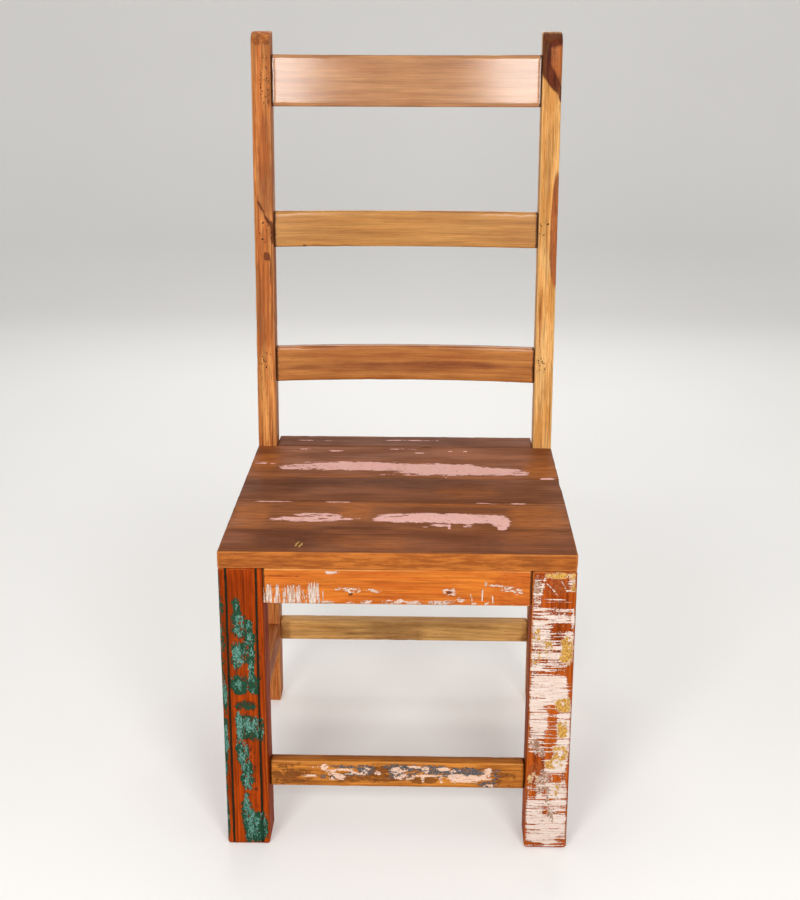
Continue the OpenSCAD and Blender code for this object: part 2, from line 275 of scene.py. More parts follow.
def lay_patches(bm, marks, place):
    """Lays each field's patches in order.

    place gives a point's own u and v in millimetres, and how much it belongs
    to the face that the patches are on.
    """
    for field, patches in marks.items():
        layer = bm.verts.layers.float[field]
        for vert in bm.verts:
            u, v, share = place(vert.co)
            if share <= 0:
                continue
            value = 0.0
            for u0, v0, half_u, half_v, amount, *turn in patches:
                turned = math.radians(turn[0]) if turn else 0.0
                value += (amount - value) * patch_shape(u - u0, v - v0, half_u, half_v, turned)
            vert[layer] = max(vert[layer], value * share)


def grow(patches, reach, amount):
    """The same patches, each reaching further, for a coat that shows round another."""
    return [(u, v, half_u + reach, half_v + reach, amount) for u, v, half_u, half_v, _ in patches]


print("patches are placed in millimetres on the face that they lie on")

# %% [markdown]
# ## Finding a place on a face
# A patch needs to know where a point lies on its face. An upright piece is
# measured from its left edge and from the floor, and a level one from its
# middle and upwards. Worn points lie a little behind the face, so a face is
# given some depth, and the paint fades out behind that.

# %% Places on a face
WEAR_DEPTH = 0.8 * MM
FACE_DEPTH = 2 * MM
END_BAND = 2.5 * MM
END_GRIME = 0.75


def face_share(distance, depth):
    """1 on a face, fading to 0 a little way behind it."""
    return min(1.0, max(0.0, 1 - (distance - WEAR_DEPTH) / depth))


def upright_face(half, depth=FACE_DEPTH):
    """Places on an upright piece's front: u from its left edge and v from its foot."""
    def place(co):
        return (co.x + half.x) / MM, (co.z + half.z) / MM, face_share(co.y + half.y, depth)
    return place


def level_face(half, middle_v, depth=FACE_DEPTH):
    """Places on a level piece's front: u from its middle and v upwards, given its middle's v."""
    def place(co):
        return co.z / MM, (middle_v - co.x) / MM, face_share(co.y + half.y, depth)
    return place


def shade_ends(bm, half):
    """Grime gathers at the shoulders, where a member meets its neighbours."""
    dirt = bm.verts.layers.float["dirt"]
    for vert in bm.verts:
        if half.z - abs(vert.co.z) < END_BAND:
            vert[dirt] = max(vert[dirt], END_GRIME)


print("a face reaches", round(FACE_DEPTH / MM, 1), "mm in")

# %% [markdown]
# ## Setting a member in its place
# A finished member is turned so that its grain runs the right way and then
# moved to its place in the frame. The object itself stays at the origin. It
# rides on the chair's one body and stands for its node of the frame.

# %% Placing
ALONG_X = Matrix(((0, 0, 1, 0), (0, 1, 0, 0), (-1, 0, 0, 0), (0, 0, 0, 1)))
ALONG_Y = Matrix(((1, 0, 0, 0), (0, 0, 1, 0), (0, -1, 0, 0), (0, 0, 0, 1)))
ALONG_Z = Matrix.Identity(4)


def node_box(node_name):
    """The size and the middle of a node of the frame."""
    low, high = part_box(node_name)
    return high - low, (low + high) / 2


def settle(bm, turn, middle):
    """Turns a member from its straight frame and moves its middle to its place."""
    bmesh.ops.transform(bm, matrix=Matrix.Translation(middle) @ turn, verts=bm.verts)


def mesh_object(bm, name, material):
    """Makes a smooth object whose faces point outwards, and gives it its finish."""
    bmesh.ops.recalc_face_normals(bm, faces=bm.faces)
    for face in bm.faces:
        face.smooth = True
    mesh = bpy.data.meshes.new(name)
    bm.to_mesh(mesh)
    bm.free()
    mesh.materials.append(material)
    thing = bpy.data.objects.new(name, mesh)
    bpy.context.scene.collection.objects.link(thing)
    return thing


def finish_piece(bm, node_name, material):
    """Makes the piece and lets it stand for its node."""
    bmesh.ops.remove_doubles(bm, verts=bm.verts, dist=MERGE)
    piece = mesh_object(bm, node_name + "_worn", material)
    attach(piece, "root")
    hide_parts(node_name)
    print(node_name, len(piece.data.polygons), "faces")


print("members run along x, y or z")

# %% [markdown]
# ## Small helpers for node trees
# Every material is a short tree of nodes. These helpers add a node, wire it
# and hand back its output, so that the trees below read as sums.

# %% Values and sums
def linear(level):
    """One level of a colour on the usual 0-255 screen scale, as the linear one Blender wants."""
    share = level / 255
    return share / 12.92 if share <= 0.04045 else ((share + 0.055) / 1.055) ** 2.4


def wire(tree, source, socket):
    """Links an output to a socket, or sets the socket to a plain value or colour."""
    if isinstance(source, bpy.types.NodeSocket):
        tree.links.new(source, socket)
    elif socket.type == "RGBA":
        socket.default_value = [linear(level) for level in source] + [1.0]
    else:
        socket.default_value = source


def maths(tree, operation, first, second=0.0, third=0.0, clamp=False):
    step = tree.nodes.new("ShaderNodeMath")
    step.operation = operation
    step.use_clamp = clamp
    for socket, source in zip(step.inputs, (first, second, third)):
        wire(tree, source, socket)
    return step.outputs[0]


def times(tree, first, second):
    return maths(tree, "MULTIPLY", first, second)


def times_plus(tree, first, second, third):
    """first times second, plus third."""
    return maths(tree, "MULTIPLY_ADD", first, second, third)


def vector_maths(tree, operation, first, second=(0, 0, 0)):
    step = tree.nodes.new("ShaderNodeVectorMath")
    step.operation = operation
    wire(tree, first, step.inputs[0])
    wire(tree, second, step.inputs["Scale" if operation == "SCALE" else 1])
    return step.outputs["Value"] if operation == "LENGTH" else step.outputs["Vector"]


print("mid grey is", round(linear(128), 3), "of full light")

# %% Colours, ranges and noise
def blend_colours(tree, share, first, second, mode="MIX"):
    step = tree.nodes.new("ShaderNodeMix")
    step.data_type = "RGBA"
    step.blend_type = mode
    wire(tree, share, step.inputs["Factor"])
    wire(tree, first, step.inputs["A"])
    wire(tree, second, step.inputs["B"])
    return step.outputs["Result"]


def spread(tree, value, low, high, to_low=0.0, to_high=1.0):
    """Stretches a range of values onto another one, and clamps it."""
    step = tree.nodes.new("ShaderNodeMapRange")
    step.interpolation_type = "SMOOTHSTEP"
    for socket, source in zip(step.inputs, (value, low, high, to_low, to_high)):
        wire(tree, source, socket)
    return step.outputs["Result"]


def speckle(tree, vector, scale, detail=3.0, rough=0.55):
    """Noise whose scale may differ along the three axes."""
    step = tree.nodes.new("ShaderNodeTexNoise")
    step.inputs["Scale"].default_value = 1.0
    step.inputs["Detail"].default_value = detail
    step.inputs["Roughness"].default_value = rough
    wire(tree, vector_maths(tree, "MULTIPLY", vector, scale), step.inputs["Vector"])
    return step.outputs


print("colours, ranges and noise are ready")

# %% Groups and materials
FLOAT = "NodeSocketFloat"
VECTOR = "NodeSocketVector"


def new_group(name, inputs, outputs):
    """An empty shader group with named sockets, its input node and its output node."""
    tree = bpy.data.node_groups.new(name, "ShaderNodeTree")
    for label, kind, value in inputs:
        socket = tree.interface.new_socket(label, in_out="INPUT", socket_type=kind)
        if value is not None:
            socket.default_value = value
    for label, kind in outputs:
        tree.interface.new_socket(label, in_out="OUTPUT", socket_type=kind)
    start = tree.nodes.new("NodeGroupInput")
    end = tree.nodes.new("NodeGroupOutput")
    return tree, start.outputs, end.inputs


def place_group(tree, group, **values):
    """Places a group in a tree. Its sockets are given by name, with _ for a space."""
    step = tree.nodes.new("ShaderNodeGroup")
    step.node_tree = group
    for label, source in values.items():
        wire(tree, source, step.inputs[label.replace("_", " ")])
    return step.outputs


def object_place(tree):
    return tree.nodes.new("ShaderNodeTexCoord").outputs["Object"]


def new_material(name):
    """A material to fill in, with its tree and its shader."""
    material = bpy.data.materials.new(name)
    material.use_nodes = True
    return material, material.node_tree, material.node_tree.nodes["Principled BSDF"]


print("groups and materials are ready")

# %% [markdown]
# ## Wood figure
# A board shows its growth rings as long lines, because it is cut along the
# trunk. The rings are circles round the pith, so the group measures the
# distance from a pith line that runs beside the member, after a slow warp has
# pushed the rings about. Over them lie fibres, which are very long thin
# noise, pores, which are short dark dashes, and a slow mottle.

# %% Wood figure group
PITH = (0.055, 0.095, 0.0)
RING_RUN = (1, 1, 0.04)
FIGURE_STEP = (0.31, 0.17, 0.23)
WARP_SCALE = (16, 16, 3.2)
MOTTLE_SCALE = (26, 26, 9)
STREAK_SCALE = (190, 190, 5)
FIBRE_SCALE = (620, 620, 16)
PORE_SCALE = (900, 900, 55)
RING_SHARPNESS = 1.6

figure_group, given, out = new_group(
    "wood figure",
    [("Vector", VECTOR, None), ("Seed", FLOAT, 0.0), ("Warp", FLOAT, 0.02), ("Rings", FLOAT, 170.0)],
    [("Figure", FLOAT), ("Fibre", FLOAT), ("Streaks", FLOAT), ("Mottle", FLOAT), ("Pores", FLOAT)],
)
tree = figure_group
offset = vector_maths(tree, "SCALE", FIGURE_STEP, given["Seed"])
moved = vector_maths(tree, "ADD", given["Vector"], offset)
push = vector_maths(tree, "SUBTRACT", speckle(tree, moved, WARP_SCALE, 2.0)["Color"], (0.5, 0.5, 0.5))
warped = vector_maths(tree, "ADD", given["Vector"], vector_maths(tree, "SCALE", push, given["Warp"]))
flat = vector_maths(tree, "MULTIPLY", vector_maths(tree, "ADD", warped, PITH), RING_RUN)
turns = times(tree, vector_maths(tree, "LENGTH", flat), given["Rings"])
wave = maths(tree, "SINE", times(tree, turns, 2 * math.pi))
wave = times_plus(tree, wave, 0.5, 0.5)
mottle = speckle(tree, moved, MOTTLE_SCALE, 4.0)["Fac"]
streaks = speckle(tree, moved, STREAK_SCALE, 4.0, 0.6)["Fac"]
fibre = speckle(tree, moved, FIBRE_SCALE, 3.0, 0.6)["Fac"]
dash = speckle(tree, moved, PORE_SCALE, 1.0)["Fac"]
wire(tree, maths(tree, "POWER", wave, RING_SHARPNESS), out["Figure"])
wire(tree, spread(tree, fibre, 0.3, 0.7), out["Fibre"])
wire(tree, spread(tree, streaks, 0.5, 0.72), out["Streaks"])
wire(tree, spread(tree, mottle, 0.32, 0.68), out["Mottle"])
wire(tree, spread(tree, dash, 0.64, 0.72), out["Pores"])
print("wood figure has", len(tree.nodes), "nodes")

# %% [markdown]
# ## Peeling paint
# Paint comes off in flakes, so its edge is ragged and crisp. The group takes
# the smooth field that was laid by hand, adds noise to it and cuts the sum at
# one half. Stretching the noise along or across the grain gives the strokes
# of the scraper. The rim is the thin band at the cut, where the paint is
# feathered and pale, and the height lifts the flake off the wood.

# %% Peeling paint group
PAINT_STEP = (0.27, 0.13, 0.19)
CRUMB_SCALE = (420, 420, 420)
FINER = (2.9, 2.9, 2.9)
FINEST = (4.3, 4.3, 4.3)
COARSE_SHARE = 0.75
FINE_SHARE = 0.55
CRUMB_SHARE = 0.3
NOISE_GAIN = 2.2
RIM_WIDTH = 0.1
FLAKE_THICKNESS = 0.8
FLAKE_UNEVENNESS = 0.35


def even_noise(tree, value):
    """Noise gathers round one half. This spreads it evenly from -0.5 to 0.5."""
    return times(tree, maths(tree, "SUBTRACT", value, 0.5), NOISE_GAIN)


paint_group, given, out = new_group(
    "peeling paint",
    [
        ("Amount", FLOAT, 0.0), ("Vector", VECTOR, None), ("Stretch", VECTOR, (60.0, 60.0, 60.0)),
        ("Raggedness", FLOAT, 0.5), ("Softness", FLOAT, 0.02), ("Seed", FLOAT, 0.0),
    ],
    [("Mask", FLOAT), ("Rim", FLOAT), ("Height", FLOAT), ("Tone", FLOAT)],
)
tree = paint_group
offset = vector_maths(tree, "SCALE", PAINT_STEP, given["Seed"])
moved = vector_maths(tree, "ADD", given["Vector"], offset)
finer = vector_maths(tree, "MULTIPLY", given["Stretch"], FINER)
finest = vector_maths(tree, "MULTIPLY", given["Stretch"], FINEST)
coarse = even_noise(tree, speckle(tree, moved, given["Stretch"], 3.0, 0.6)["Fac"])
fine = even_noise(tree, speckle(tree, moved, finer, 3.0, 0.65)["Fac"])
crumbs = even_noise(tree, speckle(tree, moved, CRUMB_SCALE, 2.0, 0.7)["Fac"])
rough = times_plus(tree, fine, FINE_SHARE, times(tree, coarse, COARSE_SHARE))
rough = times_plus(tree, crumbs, CRUMB_SHARE, rough)
ragged = times(tree, given["Raggedness"], spread(tree, given["Amount"], 0.0, 0.25))
above = maths(tree, "SUBTRACT", times_plus(tree, rough, ragged, given["Amount"]), 0.5)
mask = spread(tree, above, times(tree, given["Softness"], -1.0), given["Softness"])
tone = speckle(tree, moved, finest, 4.0, 0.7)["Fac"]
wire(tree, mask, out["Mask"])
wire(tree, spread(tree, maths(tree, "ABSOLUTE", above), 0.0, RIM_WIDTH, 1.0, 0.0), out["Rim"])
wire(tree, times(tree, mask, times_plus(tree, crumbs, FLAKE_UNEVENNESS, FLAKE_THICKNESS)), out["Height"])
wire(tree, spread(tree, tone, 0.4, 0.6), out["Tone"])
print("peeling paint has", len(tree.nodes), "nodes")

# %% [markdown]
# ## Worm holes
# Tiny round holes gather near the rail joints of the posts. Voronoi cells
# give one dot to a cell, and the field "worm" says where the dots may show.

# %% Worm hole group
WORM_SCALE = (270, 270, 210)

worm_group, given, out = new_group(
    "worm holes", [("Amount", FLOAT, 0.0), ("Vector", VECTOR, None)], [("Mask", FLOAT)],
)
tree = worm_group
cells = tree.nodes.new("ShaderNodeTexVoronoi")
cells.inputs["Scale"].default_value = 1.0
wire(tree, vector_maths(tree, "MULTIPLY", given["Vector"], WORM_SCALE), cells.inputs["Vector"])
dots = spread(tree, cells.outputs["Distance"], 0.21, 0.31, 1.0, 0.0)
wire(tree, times(tree, dots, spread(tree, given["Amount"], 0.35, 0.6)), out["Mask"])
print("worm holes has", len(tree.nodes), "nodes")

# %% [markdown]
# ## A timber finish
# One function builds the varnished wood, and each member then gives it its
# own colours: pale and dark wood between the rings, the colour of the pores,
# and the pale line where an edge is rubbed bare. Stains, dirt and coats of
# paint lie over the wood in order, and each is a layer that follows one of
# the fields. The shader stays in the material, with its uniform gloss set on
# its own sockets.

# %% Coats and stains
def paint_coat(field, first, second, rim, stretch=(60, 60, 60), rag=0.5, lift=1.0, rim_share=0.7,
               soft=0.02, cover=1.0, dull=0.14):
    """A coat of peeling paint: crisp, with a feathered rim, lying on the wood."""
    return dict(field=field, colours=(first, second), rim=rim, stretch=stretch, rag=rag, lift=lift,
                rim_share=rim_share, soft=soft, cover=cover, dull=dull)


def stain_mark(field, first, second, stretch=(50, 50, 7), rag=0.5, soft=0.12, cover=0.85):
    """Colour that lies in the wood: soft, with no rim and no thickness."""
    return paint_coat(field, first, second, first, stretch, rag, lift=0.0, rim_share=0.0,
                      soft=soft, cover=cover, dull=0.0)


def attribute(tree, name):
    step = tree.nodes.new("ShaderNodeAttribute")
    step.attribute_name = name
    return step.outputs["Vector" if name == "straight" else "Fac"]


def grey(tree, value):
    step = tree.nodes.new("ShaderNodeCombineColor")
    for socket in step.inputs[:3]:
        wire(tree, value, socket)
    return step.outputs["Color"]


def lay_coat(tree, coat, where, seed, base, height, roughness):
    """Lays one stain or coat of paint over what is there already."""
    paint = place_group(
        tree, paint_group, Amount=attribute(tree, coat["field"]), Vector=where, Stretch=coat["stretch"],
        Raggedness=coat["rag"], Softness=coat["soft"], Seed=seed,
    )
    tint = blend_colours(tree, paint["Tone"], *coat["colours"])
    tint = blend_colours(tree, times(tree, paint["Rim"], coat["rim_share"]), tint, coat["rim"])
    base = blend_colours(tree, times(tree, paint["Mask"], coat["cover"]), base, tint)
    height = times_plus(tree, paint["Height"], coat["lift"], height)
    roughness = times_plus(tree, paint["Mask"], coat["dull"], roughness)
    return base, height, roughness


print("a coat follows one of", len(FIELDS), "fields")

# %% Timber finish
WORM_COLOUR = (38, 20, 12)
BUMP = 0.35 * MM
MOTTLE_SHARE = 0.75
STREAK_SHARE = 0.4
FIBRE_LIGHT = 0.36
FIBRE_DARK = 0.22
PORE_SHARE = 0.45
RUBBED_SHARE = 0.7
RUBBED_FROM = 0.75
RUBBED_TO = 1.2
RUBBED_MOTTLE = 0.4
DARKEST = 0.75
FIBRE_LIFT = 0.12
PORE_LIFT = -0.2
WORM_LIFT = -1.5
GLOSS_MOTTLE = 0.16


def timber(name, pale, dark, pore, rubbed, seed, coats=(), figure=0.5, contrast=1.0, rings=170.0, warp=0.02,
           gloss=0.42, coat=0.0, coat_rough=0.25, shine=0.08, place_of=None):
    """A varnished timber material with stains and coats of paint over it.

    place_of gives the places that the grain follows, where a mesh has no
    straight frame.
    """
    material, tree, shader = new_material(name)
    where = place_of(tree) if place_of else attribute(tree, "straight")
    wood = place_group(tree, figure_group, Vector=where, Seed=seed, Warp=warp, Rings=rings)
    share = times_plus(tree, wood["Mottle"], MOTTLE_SHARE * contrast, times(tree, wood["Figure"], figure))
    base = blend_colours(tree, maths(tree, "MULTIPLY", share, DARKEST, clamp=True), pale, dark)
    base = blend_colours(tree, times(tree, wood["Streaks"], STREAK_SHARE * contrast), base, pore)
    fibre = times_plus(tree, wood["Fibre"], FIBRE_LIGHT * contrast, 1 - FIBRE_DARK * contrast)
    base = blend_colours(tree, 1.0, base, grey(tree, fibre), "MULTIPLY")
    base = blend_colours(tree, times(tree, wood["Pores"], PORE_SHARE * contrast), base, pore)
    worn = times_plus(tree, wood["Mottle"], RUBBED_MOTTLE, attribute(tree, "arris"))
    worn = times(tree, spread(tree, worn, RUBBED_FROM, RUBBED_TO), RUBBED_SHARE)
    base = blend_colours(tree, worn, base, rubbed)
    height = times_plus(tree, wood["Pores"], PORE_LIFT, times(tree, wood["Fibre"], FIBRE_LIFT))
    roughness = times_plus(tree, wood["Mottle"], GLOSS_MOTTLE, gloss)
    for number, layer in enumerate(coats):
        base, height, roughness = lay_coat(tree, layer, where, seed + 7 * number + 1, base, height, roughness)
    holes = place_group(tree, worm_group, Amount=attribute(tree, "worm"), Vector=where)
    bump = tree.nodes.new("ShaderNodeBump")
    bump.inputs["Distance"].default_value = BUMP
    wire(tree, times_plus(tree, holes["Mask"], WORM_LIFT, height), bump.inputs["Height"])
    wire(tree, blend_colours(tree, holes["Mask"], base, WORM_COLOUR), shader.inputs["Base Color"])
    wire(tree, roughness, shader.inputs["Roughness"])
    wire(tree, bump.outputs["Normal"], shader.inputs["Normal"])
    shader.inputs["Specular IOR Level"].default_value = shine
    shader.inputs["Coat Weight"].default_value = coat
    shader.inputs["Coat Roughness"].default_value = coat_rough
    return material


print("a timber finish is ready for its colours")

# %% [markdown]
# ## Colours of the boards
# The boards came from several kinds of old timber, all warmed by the same
# varnish. The colours that many pieces share are named once.

# %% Shared colours
GRIME = (52, 30, 18)
WHITE_PAINT = (232, 217, 207)
PINK_PAINT = (231, 172, 160)
PALE_PINK = (240, 192, 182)
OCHRE_PAINT = (206, 162, 84)
DULL_OCHRE = (164, 112, 50)
TEAL_PAINT = (106, 150, 137)
DULL_TEAL = (40, 82, 64)
DARK_GREEN = (26, 58, 40)
GREEN_BLACK = (20, 34, 26)
SLATE_PAINT = (102, 104, 108)
DARK_SLATE = (66, 54, 46)

grime_mark = stain_mark("dirt", GRIME, (78, 44, 26), stretch=(160, 160, 60), rag=0.35, soft=0.08)
print("twelve colours are shared")

# %% [markdown]
# ## The left front leg
# This leg was a grooved board. Two narrow grooves run down its face, and
# teal paint over an older dark green is left in patches between them. The
# grooves are real geometry: sloping planes cut the face on both sides of
# each groove, and the points between them are pushed in. A Boolean cut could
# make them too, but it would leave long thin faces that can't carry the
# fields.

# %% Patches of the left leg
# u from the leg's left edge and v from the floor, both half widths and the amount
LEFT_LEG_TEAL = [
    (23, 370, 3, 7, 0.6), (24, 366, 1.5, 14, 0.55), (26, 340, 8, 16, 0.64), (36, 338, 5, 10, 0.42),
    (22, 295, 6, 19, 0.74), (33, 300, 5, 16, 0.45), (41, 305, 5, 38, 0.48), (22, 252, 9, 12, 0.42),
    (41, 250, 8, 11, 0.42), (24, 186, 6, 22, 0.72), (36, 189, 10, 15, 0.62), (50, 184, 6, 18, 0.46),
    (33, 219, 13, 5, 0.1), (26, 146, 8, 16, 0.66), (30, 118, 7, 14, 0.56), (32, 98, 8, 10, 0.62),
    (28, 74, 3, 8, 0.45), (30, 52, 7, 22, 0.68), (36, 26, 10, 24, 0.7), (50, 30, 7, 20, 0.5),
    (20, 160, 3, 8, 0.4),
]
LEFT_LEG_GREEN = [
    (42, 296, 3, 46, 0.9), (44, 252, 7, 13, 0.85), (25, 248, 9, 11, 0.9), (40, 176, 8, 12, 0.75),
    (32, 121, 6, 8, 0.85), (31, 98, 6, 6, 0.7), (44, 24, 7, 20, 0.85), (48, 196, 5, 14, 0.6),
    (24, 372, 2.5, 9, 0.75),
]
LEFT_CORNER_TEAL = [
    (2, 242, 5, 18, 0.8), (2, 168, 5, 22, 0.85), (0, 60, 2.5, 44, 0.62), (0, 340, 2.5, 60, 0.56),
    (1, 116, 2, 20, 0.6),
]
LEFT_CORNER_GREEN = [
    (0, 212, 3.2, 222, 0.78), (3, 330, 4, 60, 0.6), (2, 200, 5, 70, 0.72), (0, 60, 4, 60, 0.8),
]
LEFT_LEG_DIRT = [
    (0, 212, 1.6, 212, 0.7), (59, 395, 2, 30, 0.8), (55, 300, 2, 60, 0.44), (56, 160, 2, 60, 0.44),
]
LEFT_LEG_BROWN = [
    (32, 218, 15, 9, 0.85), (32, 212, 9, 5, 0.2), (30, 330, 14, 30, 0.42), (36, 120, 12, 60, 0.42),
    (34, 186, 20, 20, 0.6), (33, 250, 16, 14, 0.5),
]
LEFT_LEG_MARKS = {
    "paint": LEFT_LEG_TEAL, "second_paint": grow(LEFT_LEG_TEAL, 2.5, 0.62) + LEFT_LEG_GREEN,
    "dirt": LEFT_LEG_DIRT, "stain": LEFT_LEG_BROWN,
}
print("the left leg has", len(LEFT_LEG_TEAL), "patches of teal")

# %% Grooves of the left leg
GROOVE_SLANT = math.radians(0.2)
GROOVE_CENTRES = (10, 50.5)
GROOVE_HALF = 1.7 * MM
GROOVE_FLOOR = 1.15 * MM
GROOVE_DEPTH = 3 * MM
GROOVE_LIP = 0.4 * MM
GROOVE_SNAP = 0.05 * MM
LIP_DIRT = 0.28
LIP_DIRT_SPREAD = 0.3
LIP_DIRT_SCALE = 50
LIP_SCALE = 60


def cut_grooves(bm, half, across, centres):
    """Pushes the floor of each groove in, and leaves dirt in it and on its ragged lips."""
    dirt = bm.verts.layers.float["dirt"]
    front = [vert for vert in bm.verts if vert.co.y <= -half.y + FACE_DEPTH]
    for vert in front:
        for centre in centres:
            off = abs(vert.co.dot(across) - centre)
            if off < GROOVE_FLOOR + GROOVE_SNAP:
                vert.co.y += GROOVE_DEPTH
                vert[dirt] = 1.0
            elif off < GROOVE_HALF + GROOVE_LIP:
                vert[dirt] = LIP_DIRT + LIP_DIRT_SPREAD * noise.noise(vert.co * LIP_DIRT_SCALE)
                vert.co.x += GROOVE_LIP * noise.noise(vert.co * LIP_SCALE)


print("each groove is", round(2 * GROOVE_HALF / MM, 1), "mm wide")

# %% Left leg
LEG_EASE = 3.5 * MM
TEAL_WRAP = 14 * MM
GREEN_WRAP = 10 * MM


def make_left_leg():
    size, middle = node_box("front_leg_left")
    half = size / 2
    across = Vector((math.cos(GROOVE_SLANT), 0, -math.sin(GROOVE_SLANT)))
    centres = [centre * MM - half.x for centre in GROOVE_CENTRES]
    offsets = (-GROOVE_HALF, -GROOVE_FLOOR, GROOVE_FLOOR, GROOVE_HALF)
    cuts = [centre + offset for centre in centres for offset in offsets]
    bm = cut_member(size, LEG_EASE, FINE_FRONT, grooves=[(across, cuts)], keep_clear=centres)
    wear_member(bm, size, seed=11)
    lay_patches(bm, LEFT_LEG_MARKS, upright_face(half))
    lay_patches(bm, {"paint": LEFT_CORNER_TEAL}, upright_face(half, TEAL_WRAP))
    lay_patches(bm, {"second_paint": LEFT_CORNER_GREEN}, upright_face(half, GREEN_WRAP))
    cut_grooves(bm, half, across, centres)
    settle(bm, ALONG_Z, middle)
    finish_piece(bm, "front_leg_left", teal_leg_finish)


teal_leg_finish = timber(
    "teal leg timber", (174, 68, 14), (130, 46, 8), (66, 26, 10), (192, 104, 42),
    seed=3.0, contrast=1.5, shine=0.02, coats=(
        stain_mark("stain", (86, 44, 24), (58, 30, 20), stretch=(110, 110, 80), rag=0.6),
        stain_mark("dirt", GREEN_BLACK, (30, 46, 32), stretch=(120, 120, 40), rag=0.4, soft=0.12, cover=0.95),
        paint_coat("second_paint", DARK_GREEN, (40, 74, 54), GREEN_BLACK, (150, 150, 70), 1.15, 0.6),
        paint_coat("paint", TEAL_PAINT, DULL_TEAL, DARK_GREEN, (180, 180, 80), 1.7, 1.0, 0.75),
    ),
)
make_left_leg()

# %% [markdown]
# ## The right front leg
# The right leg carries old white paint that was scraped off sideways, so it
# is left in fine level streaks, with ochre patches where a yellow coat shows
# beside it. The member is made in the same way as the left one, without
# grooves, and the noise of the paint is stretched across the grain.

# %% Patches of the right leg
RIGHT_LEG_OCHRE = [
    (50, 308, 10, 22, 0.78), (48, 227, 11, 12, 0.76), (48, 190, 8, 15, 0.8), (46, 152, 11, 14, 0.7),
    (36, 134, 15, 8, 0.62), (38, 417, 26, 5, 0.66), (56, 404, 7, 10, 0.66), (8, 308, 7, 30, 0.52),
    (22, 310, 10, 14, 0.48), (8, 338, 4, 14, 0.45), (46, 152, 3, 4, 0.1), (12, 352, 8, 4, 0.4),
    (12, 108, 12, 16, 0.44), (40, 94, 14, 12, 0.36),
]
RINGED = 5
RIGHT_LEG_WHITE = grow(RIGHT_LEG_OCHRE[:RINGED], 4.5, 0.95) + [
    (30, 252, 36, 21, 0.76), (26, 345, 30, 26, 0.64), (22, 300, 26, 30, 0.63), (15, 205, 16, 34, 0.74),
    (14, 232, 15, 14, 0.8), (30, 56, 36, 62, 0.72), (48, 200, 14, 40, 0.8), (30, 367, 30, 5, 0.6),
    (36, 396, 30, 22, 0.05), (55, 404, 9, 10, 0.42), (7, 388, 7, 30, 0.5), (58, 356, 4, 14, 0.9),
    (40, 340, 12, 7, 0.34), (36, 328, 10, 4, 0.34), (34, 286, 17, 9, 0.42), (34, 272, 26, 5, 0.5),
    (8, 300, 6, 24, 0.6), (57, 276, 6, 26, 0.05), (58, 246, 4, 20, 0.3), (30, 222, 11, 4, 0.36),
    (34, 204, 7, 16, 0.32), (33, 176, 8, 16, 0.26), (28, 152, 10, 10, 0.3), (12, 163, 14, 11, 0.52),
    (12, 132, 15, 12, 0.12, 22), (9, 112, 9, 16, 0.15), (22, 108, 5, 10, 0.5), (40, 112, 9, 5, 0.15),
    (10, 88, 6, 7, 0.35), (28, 92, 5, 9, 0.4), (30, 60, 5, 7, 0.3), (34, 76, 3, 6, 0.5),
    (14, 4, 15, 5, 0.3), (50, 14, 6, 10, 0.5), (58, 120, 3, 20, 0.15), (59, 60, 2, 40, 0.5),
    (58, 180, 2, 44, 0.85), (27, 398, 16, 0.8, 0.72, -49), (42, 404, 10, 0.8, 0.7, -62),
    (15, 404, 2, 14, 0.7, -12), (30, 384, 16, 0.8, 0.6), (36, 379, 20, 1, 0.62),
]
RIGHT_LEG_BROWN = [
    (8, 404, 9, 14, 0.8), (8, 300, 5, 20, 0.5), (14, 120, 13, 22, 0.55), (42, 370, 20, 24, 0.3),
    (30, 402, 20, 14, 0.55),
]
RIGHT_LEG_RINGS = [
    (10, 166, 8, 7, 0.62), (18, 152, 8, 7, 0.6), (7, 400, 6, 12, 0.62), (8, 380, 6, 8, 0.5),
    (26, 106, 14, 20, 0.5), (26, 84, 8, 16, 0.53), (36, 56, 7, 20, 0.5),
]
RIGHT_LEG_MARKS = {
    "paint": RIGHT_LEG_WHITE, "second_paint": RIGHT_LEG_OCHRE,
    "stain": RIGHT_LEG_BROWN, "second_stain": RIGHT_LEG_RINGS,
}
print("the right leg has", len(RIGHT_LEG_WHITE), "patches of white and bare wood")

# %% Right leg
def make_right_leg():
    size, middle = node_box("front_leg_right")
    bm = cut_member(size, LEG_EASE, FINE_FRONT)
    wear_member(bm, size, seed=23, knock=1.1 * MM)
    lay_patches(bm, RIGHT_LEG_MARKS, upright_face(size / 2))
    settle(bm, ALONG_Z, middle)
    finish_piece(bm, "front_leg_right", white_leg_finish)


white_leg_finish = timber(
    "white leg timber", (182, 88, 27), (142, 56, 14), (92, 38, 14), (206, 128, 66),
    seed=5.0, contrast=1.4, shine=0.02, coats=(
        stain_mark("stain", (124, 56, 26), (156, 84, 44), stretch=(90, 90, 60), rag=0.5),
        paint_coat("paint", (221, 206, 196), (206, 179, 163), (170, 122, 86), (12, 12, 280), 1.25, 1.0, 0.4),
        paint_coat(
            "second_stain", (134, 100, 78), (168, 130, 104), WHITE_PAINT, (100, 100, 80), 0.9, 0.4, 0.95,
        ),
        paint_coat("second_paint", OCHRE_PAINT, DULL_OCHRE, WHITE_PAINT, (80, 80, 80), 0.85, 1.1, 0.95),
    ),
)
make_right_leg()
